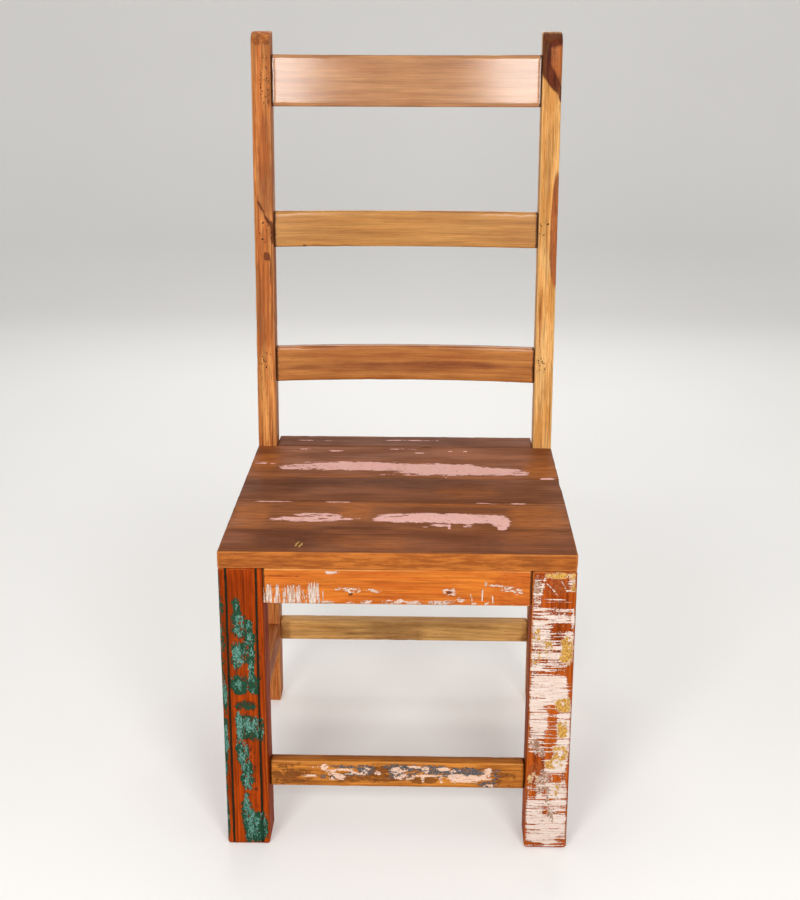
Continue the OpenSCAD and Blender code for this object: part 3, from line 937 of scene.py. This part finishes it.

# %% [markdown]
# ## The back posts
# A post is one thin board with its top front corner rounded over. It leans
# back all the way, a little more below the seat than above it. It is cut
# straight, so that the grain is easy to lay, and only then leaned by moving
# each point back by the post's own line. The big rounding is a bevel of one
# edge, made before the small ones.

# %% Stains of the posts, and painted shade on their caps
# The first patch darkens the rounded cap: partly a stain, partly painted shade where the rounding turns away
# from the lamps.
LEFT_POST_STAIN_AND_CAP_SHADE = [
    (15, 1090, 22, 14, 0.52), (12, 832, 15, 2.8, 0.7, -62), (22, 812, 9, 2.8, 0.9, -55),
    (28, 793, 2.5, 18, 0.9), (19, 756, 5, 7, 0.95), (25, 730, 2.5, 26, 0.5), (27, 1000, 3, 16, 0.5),
    (4, 560, 3, 60, 0.4),
]
LEFT_POST_RED = [
    (19, 868, 14, 52, 0.75), (20, 940, 10, 40, 0.5), (7, 660, 5, 60, 0.72), (13, 640, 3, 90, 0.5),
]
LEFT_POST_WORM = [(22, 1026, 9, 38, 0.95), (19, 793, 11, 18, 0.95), (16, 588, 10, 14, 0.9)]
# The patch at 1092 darkens the rounded cap: partly a dark stain, partly painted shade where the rounding
# turns away from the lamps.
RIGHT_POST_STAIN_AND_CAP_SHADE = [
    (22, 1050, 12, 34, 0.44), (15, 1092, 20, 14, 1.0), (4, 1062, 7, 30, 0.88), (15, 1030, 27, 8, 0.9, -60),
    (28, 1006, 3, 12, 0.8),
]
RIGHT_POST_RED = [
    (20, 1054, 15, 38, 0.8), (33, 800, 15, 92, 0.88), (22, 560, 3, 80, 0.5), (7, 640, 3, 90, 0.48),
]
RIGHT_POST_WORM = [(8, 803, 9, 13, 0.95), (9, 583, 8, 13, 0.9)]
print("the right post has", len(RIGHT_POST_RED), "long dark stains")

# %% Posts
POST_ROUND = 22 * MM
ROUND_STEPS = 9
POST_SPACING = (3 * MM, 5 * MM, 3.5 * MM)
POST_DEPTH_SEEN = 30 * MM


def make_post(node_name, material, seed, marks):
    low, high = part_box(node_name)
    size = Vector((high.x - low.x, POST_D, high.z - low.z))
    half = size / 2
    top_front = lambda middle: middle.y < -half.y + MM and middle.z > half.z - MM
    bm = cut_member(size, spacing=POST_SPACING, first=(POST_ROUND, ROUND_STEPS, top_front))
    wear_member(bm, size, seed, knock=0.7 * MM)
    lay_patches(bm, marks, upright_face(half, POST_DEPTH_SEEN))
    settle(bm, ALONG_Z, Vector(((low.x + high.x) / 2, half.y, half.z + low.z)))
    for vert in bm.verts:
        vert.co.y += post_front(vert.co.z)
    finish_piece(bm, node_name, material)


left_post_finish = timber(
    "left post timber", (214, 144, 78), (178, 100, 48), (116, 58, 28), (222, 164, 108),
    seed=8.0, figure=0.8, rings=120.0, warp=0.045, contrast=1.8, shine=0.08, coats=(
        stain_mark("second_stain", (142, 74, 36), (134, 82, 46), soft=0.3, rag=0.3, cover=0.68),
        # This stain coat also lays painted shade on the rounded cap.
        stain_mark("stain", (108, 54, 26), (78, 38, 22), soft=0.18, rag=0.45, cover=0.9),
    ),
)
right_post_finish = timber(
    "right post timber", (236, 182, 114), (208, 144, 76), (146, 94, 44), (232, 186, 124),
    seed=13.0, figure=0.45, rings=120.0, warp=0.045, contrast=1.6, shine=0.05, coats=(
        stain_mark("second_stain", (164, 82, 38), (122, 54, 26), soft=0.1, rag=0.3, cover=0.84),
        # This stain coat also lays painted shade on the rounded cap.
        stain_mark("stain", (62, 22, 14), (92, 38, 22), soft=0.22, rag=0.4, cover=0.93),
    ),
)
make_post(
    "back_post_left", left_post_finish, 31,
    {"stain": LEFT_POST_STAIN_AND_CAP_SHADE, "second_stain": LEFT_POST_RED, "worm": LEFT_POST_WORM},
)
make_post(
    "back_post_right", right_post_finish, 37,
    {"stain": RIGHT_POST_STAIN_AND_CAP_SHADE, "second_stain": RIGHT_POST_RED, "worm": RIGHT_POST_WORM},
)

# %% [markdown]
# ## The back rails
# The three rails are boards sawn to a shallow curve, hollow towards the
# sitter. Each is cut straight and then bowed: a point keeps its place along
# the rail and moves back to the circle that its depth belongs to. After that
# the rail is tilted to the lean of the posts. A Simple Deform modifier could
# bend it as well, but the circle has to pass exactly through the two posts.

# %% Rails
RAIL_T = 20 * MM
RAIL_EASE = 1.8 * MM
RAIL_DEPTH_SEEN = 4 * MM
RAIL_BOW = 22 * MM
RAIL_SETBACK = 11 * MM
BACK_LEAN = math.atan(BACK_SLOPE)
RAIL_RADIUS = (POST_IN ** 2 + RAIL_BOW ** 2) / (2 * RAIL_BOW)
RAIL_REACH = RAIL_SETBACK + (RAIL_BOW + RAIL_T) / 2


def rail_place(node_name):
    """A rail's height, and its middle height on the posts' front line."""
    low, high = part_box(node_name)
    height = (high.z - low.z - (RAIL_BOW + RAIL_T) * math.sin(BACK_LEAN)) / math.cos(BACK_LEAN)
    middle = (low.z + high.z) / 2 + RAIL_REACH * math.sin(BACK_LEAN)
    return height, middle


def make_rail(node_name, material, seed, marks):
    height, middle = rail_place(node_name)
    size = Vector((height, RAIL_T, 2 * POST_IN))
    half = size / 2
    bm = cut_member(size, RAIL_EASE)
    wear_member(bm, size, seed, knock=0.5 * MM, bite=1.2 * MM)
    lay_patches(bm, marks, level_face(half, half.x, RAIL_DEPTH_SEEN))
    shade_ends(bm, half)
    settle(bm, ALONG_X, Vector((0, 0, 0)))
    for vert in bm.verts:
        radius = RAIL_RADIUS + vert.co.y + half.y
        vert.co.y = math.sqrt(radius ** 2 - vert.co.x ** 2) - RAIL_RADIUS + RAIL_BOW + RAIL_SETBACK
    lean = Matrix.Rotation(-BACK_LEAN, 4, "X")
    settle(bm, lean, Vector((0, post_front(middle), middle)))
    finish_piece(bm, node_name, material)


top_rail_finish = timber(
    "top rail timber", (184, 130, 82), (160, 104, 62), (140, 90, 54), (126, 72, 38),
    seed=17.0, contrast=0.8, rings=90.0, gloss=0.36, coat=0.7, coat_rough=0.16, coats=(grime_mark,),
)
middle_rail_finish = timber(
    "middle rail timber", (194, 137, 70), (170, 111, 50), (130, 78, 36), (118, 66, 30),
    seed=19.0, contrast=0.9, rings=110.0, gloss=0.38, coat=0.4, coat_rough=0.18, coats=(grime_mark,),
)
lower_rail_finish = timber(
    "lower rail timber", (190, 123, 60), (156, 86, 38), (110, 58, 26), (116, 60, 26),
    seed=21.0, contrast=1.0, rings=130.0, gloss=0.4, coat=0.3, coat_rough=0.2,
    coats=(stain_mark("stain", (140, 74, 34), (116, 58, 28), soft=0.25, rag=0.35, cover=0.8), grime_mark),
)
make_rail("top_rail", top_rail_finish, 41, {})
make_rail("middle_rail", middle_rail_finish, 43, {"dirt": [(-161, 1, 3, 2, 0.9)]})
make_rail("lower_rail", lower_rail_finish, 47, {"stain": [(-60, 22, 160, 6, 0.62), (90, 26, 90, 7, 0.66)]})
print("rails follow a circle of", round(RAIL_RADIUS, 3), "m")

# %% [markdown]
# ## The front apron and the front stretcher
# Both bars show their old coats on the front face only. The apron's white
# paint hangs in short upright strokes, where a brush went across the board,
# and lies in small flecks along its lower edge. The stretcher has rings of
# slate, cream and pink. Each bar runs from shoulder to shoulder between the
# legs, and its depth and height come from its node.

# %% Patches of the bars
APRON_STROKES = [
    (-150, 382, 33, 17, 0.5), (-171, 386, 6, 12, 0.6), (-156, 380, 7, 12, 0.6), (-130, 381, 8, 14, 0.6),
    (-112, 384, 9, 19, 0.6), (-100, 380, 2, 12, 0.75), (-136, 375, 46, 4, 0.56), (58, 376, 15, 3, 0.6),
    (99, 384, 1.3, 8, 0.9, 4), (114, 388, 1.3, 9, 0.95, -5), (128, 381, 1.4, 7, 0.85, 8),
    (118, 404, 1.6, 4, 0.9), (133, 390, 1, 8, 0.6),
]
APRON_FLECKS = [
    (-92, 375, 9, 2.5, 0.6), (-76, 395, 7, 2, 0.52), (-58, 393, 12, 4, 0.56), (-30, 393, 12, 3, 0.58),
    (-62, 375, 7, 2, 0.52), (-42, 376, 9, 3, 0.55), (-14, 376, 10, 3.5, 0.55), (4, 377, 9, 4, 0.56),
    (24, 376, 15, 4.5, 0.64), (58, 377, 18, 3.5, 0.56), (80, 380, 12, 3.6, 0.62, 14),
    (-86, 418, 12, 2.6, 0.66), (70, 392, 9, 5.5, 0.6), (70.5, 391.5, 4, 2.6, 0.0), (102, 375, 10, 2, 0.52),
    (120, 376, 4, 1.6, 0.66, 30), (130, 402, 10, 2.5, 0.56), (150, 398, 12, 4, 0.56),
    (163, 393, 8, 4, 0.55),
]
APRON_DIRT = [
    (-150, 412, 32, 1.2, 0.6), (-174, 384, 4, 8, 0.6), (-62, 388, 3, 2.5, 0.8), (70, 392, 4, 2.5, 0.85),
]
APRON_KNOT = [(158, 396, 36, 30, 0.6), (-140, 402, 40, 10, 0.32), (-20, 380, 60, 8, 0.38)]
STRETCHER_PALE = [
    (-117, 115, 9, 1.5, 0.75), (-102, 114, 6, 5, 0.8), (-94, 108, 7, 4, 0.66), (-82, 102, 14, 4, 0.6),
    (-76, 111, 14, 2.5, 0.66), (-118, 101, 16, 1.4, 0.7), (-84, 97, 12, 2, 0.66), (-44, 110, 8, 6, 0.56),
    (-52, 106, 14, 3, 0.5), (-28, 107, 6, 4, 0.5), (2, 108, 12, 9, 0.6), (12, 100, 14, 4, 0.56),
    (24, 117, 10, 1.6, 0.66), (40, 113, 5, 6, 0.76), (64, 114, 12, 3, 0.72), (82, 111, 8, 3, 0.6),
    (48, 103, 24, 1.4, 0.7), (36, 98, 2, 5, 0.85), (62, 97, 3, 6, 0.66), (95, 99, 24, 6, 0.86),
    (84, 105, 10, 3, 0.6), (122, 101, 10, 4, 0.75), (126, 111, 7, 5, 0.8), (128, 88, 7, 3, 0.62),
]
STRETCHER_SLATE = [
    (-76, 116, 16, 3, 0.66), (-44, 111, 14, 8, 0.72), (-62, 104, 16, 4, 0.56), (4, 108, 20, 12, 0.68),
    (30, 117, 44, 3, 0.74), (60, 110, 40, 6, 0.62), (100, 110, 28, 7, 0.72), (70, 103, 30, 3, 0.62),
    (128, 90, 14, 5, 0.62), (138, 106, 8, 12, 0.45), (-90, 99, 18, 4, 0.5),
]
STRETCHER_STAIN = [
    (-148, 104, 32, 20, 0.48), (-170, 103, 5, 5, 0.9), (-146, 104, 10, 7, 0.8), (-150, 92, 20, 4, 0.75),
    (38, 96, 20, 6, 0.85), (152, 100, 18, 12, 0.5), (-18, 106, 28, 14, 0.66), (-60, 98, 40, 8, 0.6),
]
print("the apron has", len(APRON_STROKES), "strokes and", len(APRON_FLECKS), "flecks")

# %% Bars between the legs
def make_cross_bar(node_name, material, seed, half_length, marks):
    box, middle = node_box(node_name)
    middle.x = 0
    size = Vector((box.z, box.y, 2 * half_length))
    half = size / 2
    bm = cut_member(size, BAR_EASE, FINE_FRONT)
    wear_member(bm, size, seed)
    lay_patches(bm, marks, level_face(half, middle.z))
    shade_ends(bm, half)
    settle(bm, ALONG_X, middle)
    finish_piece(bm, node_name, material)


apron_finish = timber(
    "front apron timber", (206, 118, 42), (178, 86, 28), (120, 56, 20), (236, 168, 96),
    seed=25.0, warp=0.03, shine=0.06, coats=(
        stain_mark("stain", (150, 66, 24), (182, 88, 34), (90, 90, 24), rag=0.6, soft=0.4, cover=0.75),
        grime_mark,
        paint_coat("paint", (216, 202, 192), (164, 124, 98), (206, 142, 88), (16, 60, 330), 1.6, 1.0, 0.6),
        paint_coat(
            "second_paint", (214, 198, 188), (186, 150, 128), (206, 142, 88), (230, 190, 85), 1.3, 1.0, 0.5,
        ),
    ),
)
stretcher_finish = timber(
    "front stretcher timber", (204, 130, 54), (158, 90, 32), (92, 50, 20),
    (214, 150, 82), seed=27.0, warp=0.035, contrast=1.4, shine=0.05, coats=(
        stain_mark("stain", (90, 48, 22), (122, 70, 32), stretch=(130, 130, 44), rag=0.95, cover=0.8),
        grime_mark,
        paint_coat("second_paint", SLATE_PAINT, DARK_SLATE, (62, 46, 34), (240, 240, 100), 1.5, 0.7, 0.6),
        paint_coat("paint", (226, 202, 184), (216, 162, 128), WHITE_PAINT, (240, 240, 100), 1.5, 1.0, 0.7),
    ),
)
make_cross_bar(
    "front_apron", apron_finish, 51, LEG_IN,
    {"paint": APRON_STROKES, "second_paint": APRON_FLECKS, "dirt": APRON_DIRT, "stain": APRON_KNOT},
)
make_cross_bar(
    "front_stretcher", stretcher_finish, 53, LEG_IN,
    {"paint": STRETCHER_PALE, "second_paint": STRETCHER_SLATE, "stain": STRETCHER_STAIN},
)

# %% [markdown]
# ## The bars that carry no paint
# The rear stretcher is a pale golden bar, and the aprons and stretchers at
# the sides are darker and plainer. A side bar ends against a leaning post,
# so each of its points is moved along the bar until the end lies on the
# post's line. That leaves the section as it was and gives the slanted
# shoulder that a joiner would saw.

# %% Plain bars
def make_side_bar(node_name, material, seed):
    low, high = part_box(node_name)
    size = Vector((high.x - low.x, high.z - low.z, 0))
    middle_z = (low.z + high.z) / 2
    length = post_front(middle_z) - LEG_BACK_Y
    size.z = length
    bm = cut_member(size, BAR_EASE)
    wear_member(bm, size, seed)
    shade_ends(bm, size / 2)
    settle(bm, ALONG_Y, Vector(((low.x + high.x) / 2, LEG_BACK_Y + length / 2, middle_z)))
    for vert in bm.verts:
        along = (vert.co.y - LEG_BACK_Y) / length
        vert.co.y += along * (post_front(vert.co.z) - post_front(middle_z))
    finish_piece(bm, node_name, material)


REAR_STRETCHER_BROWN = [
    (-12, 122, 52, 40, 0.56), (-206, 122, 14, 40, 0.62), (208, 122, 10, 40, 0.62), (-104, 129, 46, 3, 0.52),
    (-70, 118, 36, 3, 0.5), (110, 132, 70, 3, 0.4),
]
rear_stretcher_finish = timber(
    "rear stretcher timber", (228, 178, 108), (198, 140, 76), (126, 78, 40),
    (228, 180, 120), seed=33.0, warp=0.03, gloss=0.4, shine=0.06,
    coats=(stain_mark("stain", (158, 108, 62), (122, 80, 46), rag=0.6, soft=0.35, cover=0.75),),
)
side_finish = timber(
    "side timber", (190, 112, 56), (148, 78, 36), (90, 46, 22), (208, 146, 90),
    seed=35.0, warp=0.03, gloss=0.42, shine=0.06,
)
plain_finish = timber(
    "plain timber", (196, 146, 92), (164, 112, 64), (110, 70, 38), (208, 164, 114),
    seed=39.0, gloss=0.5,
)
make_cross_bar("rear_stretcher", rear_stretcher_finish, 57, POST_IN, {"stain": REAR_STRETCHER_BROWN})
make_cross_bar("back_apron", plain_finish, 59, POST_IN, {})
SIDE_BARS = ("side_apron_left", "side_apron_right", "side_stretcher_left", "side_stretcher_right")
for seed, node_name in enumerate(SIDE_BARS, start=61):
    make_side_bar(node_name, side_finish, seed)

# %% [markdown]
# ## The seat
# Five boards lie side by side. Pink paint is left on them in two long ragged
# islands, one at the back and one in front, and a thin broken line of it
# runs along a seam. Each board is its own piece with its own seed, so the
# grain doesn't run on over a seam. Eased edges make the seams show as fine
# dark grooves.

# %% Patches of the seat
SEAT_PINK = [
    (-168, 357, 26, 11, 0.8), (-160, 368, 16, 6, 0.5), (-72, 366, 78, 22, 0.9), (60, 352, 72, 27, 0.92),
    (146, 344, 40, 18, 0.9), (182, 336, 14, 10, 0.7), (20, 325, 60, 3, 0.45), (-224, 378, 13, 6, 0.52),
    (-206, 374, 6, 4, 0.5), (-130, 384, 30, 2.5, 0.42), (222, 313, 12, 4, 0.75), (-180, 199, 31, 3, 0.72),
    (-90, 199, 19, 3, 0.75), (128, 199, 18, 3, 0.7), (169, 199, 13, 3, 0.62), (-173, 125, 12, 6, 0.75),
    (-140, 132, 30, 16, 0.78), (-104, 134, 22, 16, 0.72), (-142, 139, 9, 4, 0.25), (-118, 146, 30, 5, 0.6),
    (-70, 128, 18, 5, 0.62), (-156, 139, 9, 4, 0.24), (-130, 138, 8, 3.5, 0.26), (-108, 128, 7, 3, 0.3),
    (-146, 119, 14, 3, 0.4), (-28, 126, 12, 7, 0.8), (-6, 134, 26, 14, 0.8), (62, 134, 76, 20, 0.92),
    (142, 126, 14, 22, 0.9), (144, 98, 7, 8, 0.8), (70, 102, 3, 10, 0.8), (58, 106, 14, 6, 0.6),
    (96, 106, 8, 6, 0.66), (-8, 140, 26, 1.2, 0.3, 14), (36, 101, 5, 2, 0.6),
]
SEAT_SPECKS = [
    (-110, 443, 12, 4, 0.62), (25, 436, 8, 4, 0.62), (-150, 500, 30, 2.5, 0.55), (18, 504, 58, 2.5, 0.58),
    (75, 446, 4, 2, 0.6), (100, 446, 4, 2, 0.6), (-160, 452, 14, 3, 0.5), (0, 456, 30, 2, 0.5),
    (70, 314, 20, 2, 0.5),
]
SEAT_OCHRE = [(-136, 30, 1.5, 10, 0.85, -12), (-130, 27, 1.5, 10, 0.85, -12)]
SEAT_DARK = [
    (-190, 270, 60, 40, 0.6), (-60, 290, 120, 20, 0.62), (-150, 50, 50, 40, 0.6), (-60, 96, 60, 10, 0.5),
    (60, 282, 90, 24, 0.6), (-60, 430, 130, 34, 0.5), (0, 500, 210, 22, 0.6), (130, 30, 14, 30, 0.42),
    (-132, 40, 6, 16, 0.9), (16, 285, 10, 7, 0.95), (-30, 284, 8, 6, 0.85), (44, 150, 40, 8, 0.4),
]
SEAT_GOLD = [
    (195, 140, 44, 44, 0.72), (-32, 40, 56, 30, 0.48), (-212, 145, 28, 48, 0.7), (-64, 160, 26, 34, 0.66),
    (215, 355, 30, 44, 0.7), (98, 258, 50, 40, 0.5), (-222, 380, 26, 44, 0.55), (190, 66, 50, 20, 0.45),
    (-10, 188, 200, 8, 0.55),
]
# The front face of the front board is painted a lighter gold: painted light, where that face turns to the
# lamps in front.
SEAT_FRONT_PAINTED_LIGHT = [(0, 12, 260, 20, 0.9), (-170, 10, 60, 10, 0.6), (190, 14, 30, 12, 0.6)]
SEAT_MARKS = {
    "paint": SEAT_PINK + SEAT_SPECKS, "second_paint": SEAT_OCHRE,
    "stain": SEAT_DARK, "second_stain": SEAT_GOLD,
}
print("the seat has", len(SEAT_PINK), "patches of pink")

# %% Seat boards
SEAT_EASE = 0.8 * MM
SEAT_SPACING = (6 * MM, 2.5 * MM, 2.5 * MM)


def seat_face(half, middle_y):
    """Places on the seat's top: u from its middle and v from its front edge, both in mm."""
    def place(co):
        return co.z / MM, (co.y + middle_y - FRONT_Y) / MM, face_share(co.x + half.x, FACE_DEPTH)
    return place


def make_seat_board(number, material):
    node_name = "seat_board_" + str(number)
    box, middle = node_box(node_name)
    size = Vector((box.z, box.y, box.x))
    half = size / 2
    bm = cut_member(size, SEAT_EASE, SEAT_SPACING)
    wear_member(bm, size, 70 + number, knock=0.5 * MM, bite=1.4 * MM)
    lay_patches(bm, SEAT_MARKS, seat_face(half, middle.y))
    if number == 1:
        # The front board's front face gets painted light in the gold coat.
        lay_patches(bm, {"second_stain": SEAT_FRONT_PAINTED_LIGHT}, level_face(half, half.x))
    settle(bm, ALONG_X, middle)
    finish_piece(bm, node_name, material)


def seat_finish(number, pale, dark):
    rubbed = (190, 122, 66) if number == 1 else (92, 52, 28)
    return timber(
        "seat board timber " + str(number), pale, dark, (76, 42, 22), rubbed,
        seed=40.0 + 4 * number, warp=0.03, contrast=1.2, rings=150.0, gloss=0.36, shine=0.015, coats=(
            # On the front board this gold coat also paints light on the front face.
            stain_mark("second_stain", (204, 120, 50), (158, 86, 34), rag=0.5, soft=0.4, cover=0.6),
            stain_mark("stain", (82, 44, 26), (104, 60, 36), rag=0.5, soft=0.3, cover=0.7),
            paint_coat("second_paint", OCHRE_PAINT, DULL_OCHRE, OCHRE_PAINT, (90, 90, 60), 0.4),
            paint_coat("paint", PINK_PAINT, PALE_PINK, (150, 88, 66), (60, 130, 45), 0.95, 1.2, 0.4),
        ),
    )


SEAT_COLOURS = (
    ((144, 80, 40), (113, 60, 30)), ((156, 92, 50), (122, 69, 38)),
    ((146, 86, 50), (112, 64, 38)), ((164, 96, 52), (130, 74, 42)),
    ((150, 90, 56), (118, 70, 46)),
)
for number, (pale, dark) in enumerate(SEAT_COLOURS, start=1):
    make_seat_board(number, seat_finish(number, pale, dark))

# %% [markdown]
# ## What stays from the frame
# The dowels, the corner blocks and the screws already have their true shape
# in the frame, and they are seen only from below. They keep their meshes and
# get a finish. Their grain follows Object coordinates, because their meshes
# carry no straight frame of their own.

# %% Hidden pieces
def steel(name):
    """Bare steel with spots of rust."""
    material, tree, shader = new_material(name)
    spots = speckle(tree, object_place(tree), (400, 400, 400), 4.0, 0.6)["Fac"]
    rust = spread(tree, spots, 0.5, 0.62)
    wire(tree, blend_colours(tree, rust, (168, 166, 160), (112, 72, 48)), shader.inputs["Base Color"])
    wire(tree, spread(tree, rust, 0.0, 1.0, 1.0, 0.1), shader.inputs["Metallic"])
    wire(tree, spread(tree, spots, 0.3, 0.7, 0.3, 0.7), shader.inputs["Roughness"])
    return material


hidden_finish = timber(
    "hidden timber", (196, 150, 98), (168, 120, 72), (116, 76, 42), (208, 164, 114),
    seed=91.0, gloss=0.55, place_of=object_place,
)
screw_finish = steel("screw steel")
KEPT_FINISHES = {
    "seat_dowels": hidden_finish, "corner_block_screws": screw_finish, "seat_screws": screw_finish,
}
for corner in ("front_left", "front_right", "back_left", "back_right"):
    KEPT_FINISHES["corner_block_" + corner] = hidden_finish
for node_name, finish in KEPT_FINISHES.items():
    node_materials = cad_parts[node_name].data.materials
    node_materials.clear()
    node_materials.append(finish)
print("hidden pieces keep the frame's meshes")

# %% [markdown]
# ## Floor, backdrop and light
# The chair stands on a plain pale floor that turns up into a backdrop. Two
# soft lamps stand in front, one on each side of the camera, so that the
# bowed rails catch them near their ends. Two weaker lamps, above and behind,
# keep the other sides readable. Their level is set so that a colour renders
# about as it is written.

# %% Stage
FLOOR_HALF = 6.0
BACKDROP_Y = 3.2
STAGE_BEND = 0.8
BEND_STEPS = 12
WALL_H = 5.0
STAGE_GLOW = 0.24


def seen_by_eye(tree):
    """1 for rays that come from the camera or through gloss and glass."""
    light_path = tree.nodes.new("ShaderNodeLightPath")
    seen = maths(tree, "ADD", light_path.outputs["Is Camera Ray"], light_path.outputs["Is Glossy Ray"])
    return maths(tree, "ADD", seen, light_path.outputs["Is Transmission Ray"], clamp=True)


def stage_finish():
    material, tree, shader = new_material("pale stage")
    cloud = speckle(tree, object_place(tree), (0.8, 0.8, 0.8), 2.0)["Fac"]
    tone = blend_colours(tree, cloud, (222, 220, 217), (230, 228, 225))
    wire(tree, tone, shader.inputs["Base Color"])
    wire(tree, tone, shader.inputs["Emission Color"])
    wire(tree, times(tree, seen_by_eye(tree), STAGE_GLOW), shader.inputs["Emission Strength"])
    shader.inputs["Roughness"].default_value = 0.9
    return material


def make_stage():
    bm = bmesh.new()
    bmesh.ops.create_grid(bm, x_segments=1, y_segments=1, size=FLOOR_HALF)
    back = [e for e in bm.edges if all(v.co.y > 0 for v in e.verts)]
    bmesh.ops.translate(bm, vec=(0, BACKDROP_Y - FLOOR_HALF, 0), verts=bm.verts)
    bmesh.ops.spin(
        bm, geom=back, cent=(0, BACKDROP_Y, STAGE_BEND), axis=(1, 0, 0), dvec=(0, 0, 0),
        angle=math.pi / 2, steps=BEND_STEPS, use_duplicate=False,
    )
    top = [e for e in bm.edges if all(abs(v.co.y - BACKDROP_Y - STAGE_BEND) < MM for v in e.verts)]
    raised = bmesh.ops.extrude_edge_only(bm, edges=top)["geom"]
    lifted = [v for v in raised if isinstance(v, bmesh.types.BMVert)]
    bmesh.ops.translate(bm, vec=(0, 0, WALL_H), verts=lifted)
    stage = mesh_object(bm, "stage", stage_finish())


make_stage()
print("the stage reaches", BACKDROP_Y + STAGE_BEND, "m back")

# %% Lamps
AIM = Vector((0, 0, 0.55))
SKY_LEVEL = 0.33
SKY_SEEN = 0.8


def add_lamp(name, place, size, power, tint=(1.0, 1.0, 1.0)):
    lamp = bpy.data.lights.new(name, "AREA")
    lamp.shape = "RECTANGLE"
    lamp.size = size[0]
    lamp.size_y = size[1]
    lamp.energy = power
    lamp.color = tint
    holder = bpy.data.objects.new(name, lamp)
    holder.location = place
    holder.rotation_euler = (AIM - Vector(place)).to_track_quat("-Z", "Y").to_euler()
    bpy.context.scene.collection.objects.link(holder)


add_lamp("left_lamp", (-0.85, -2.5, 1.4), (0.7, 0.8), 35)
add_lamp("right_lamp", (0.8, -2.5, 1.4), (0.7, 0.8), 35)
add_lamp("top_lamp", (0, 0.2, 3.0), (2.0, 2.0), 14)
add_lamp("back_lamp", (0, 2.8, 2.0), (2.4, 1.4), 34)

world = bpy.data.worlds.new("studio")
world.use_nodes = True
tree = world.node_tree
strength = times_plus(tree, seen_by_eye(tree), SKY_SEEN - SKY_LEVEL, SKY_LEVEL)
tree.nodes["Background"].inputs["Color"].default_value = (1.0, 1.0, 1.0, 1.0)
wire(tree, strength, tree.nodes["Background"].inputs["Strength"])
bpy.context.scene.world = world
bpy.context.scene.view_settings.view_transform = "Standard"
print("four lamps and a soft sky light the chair")
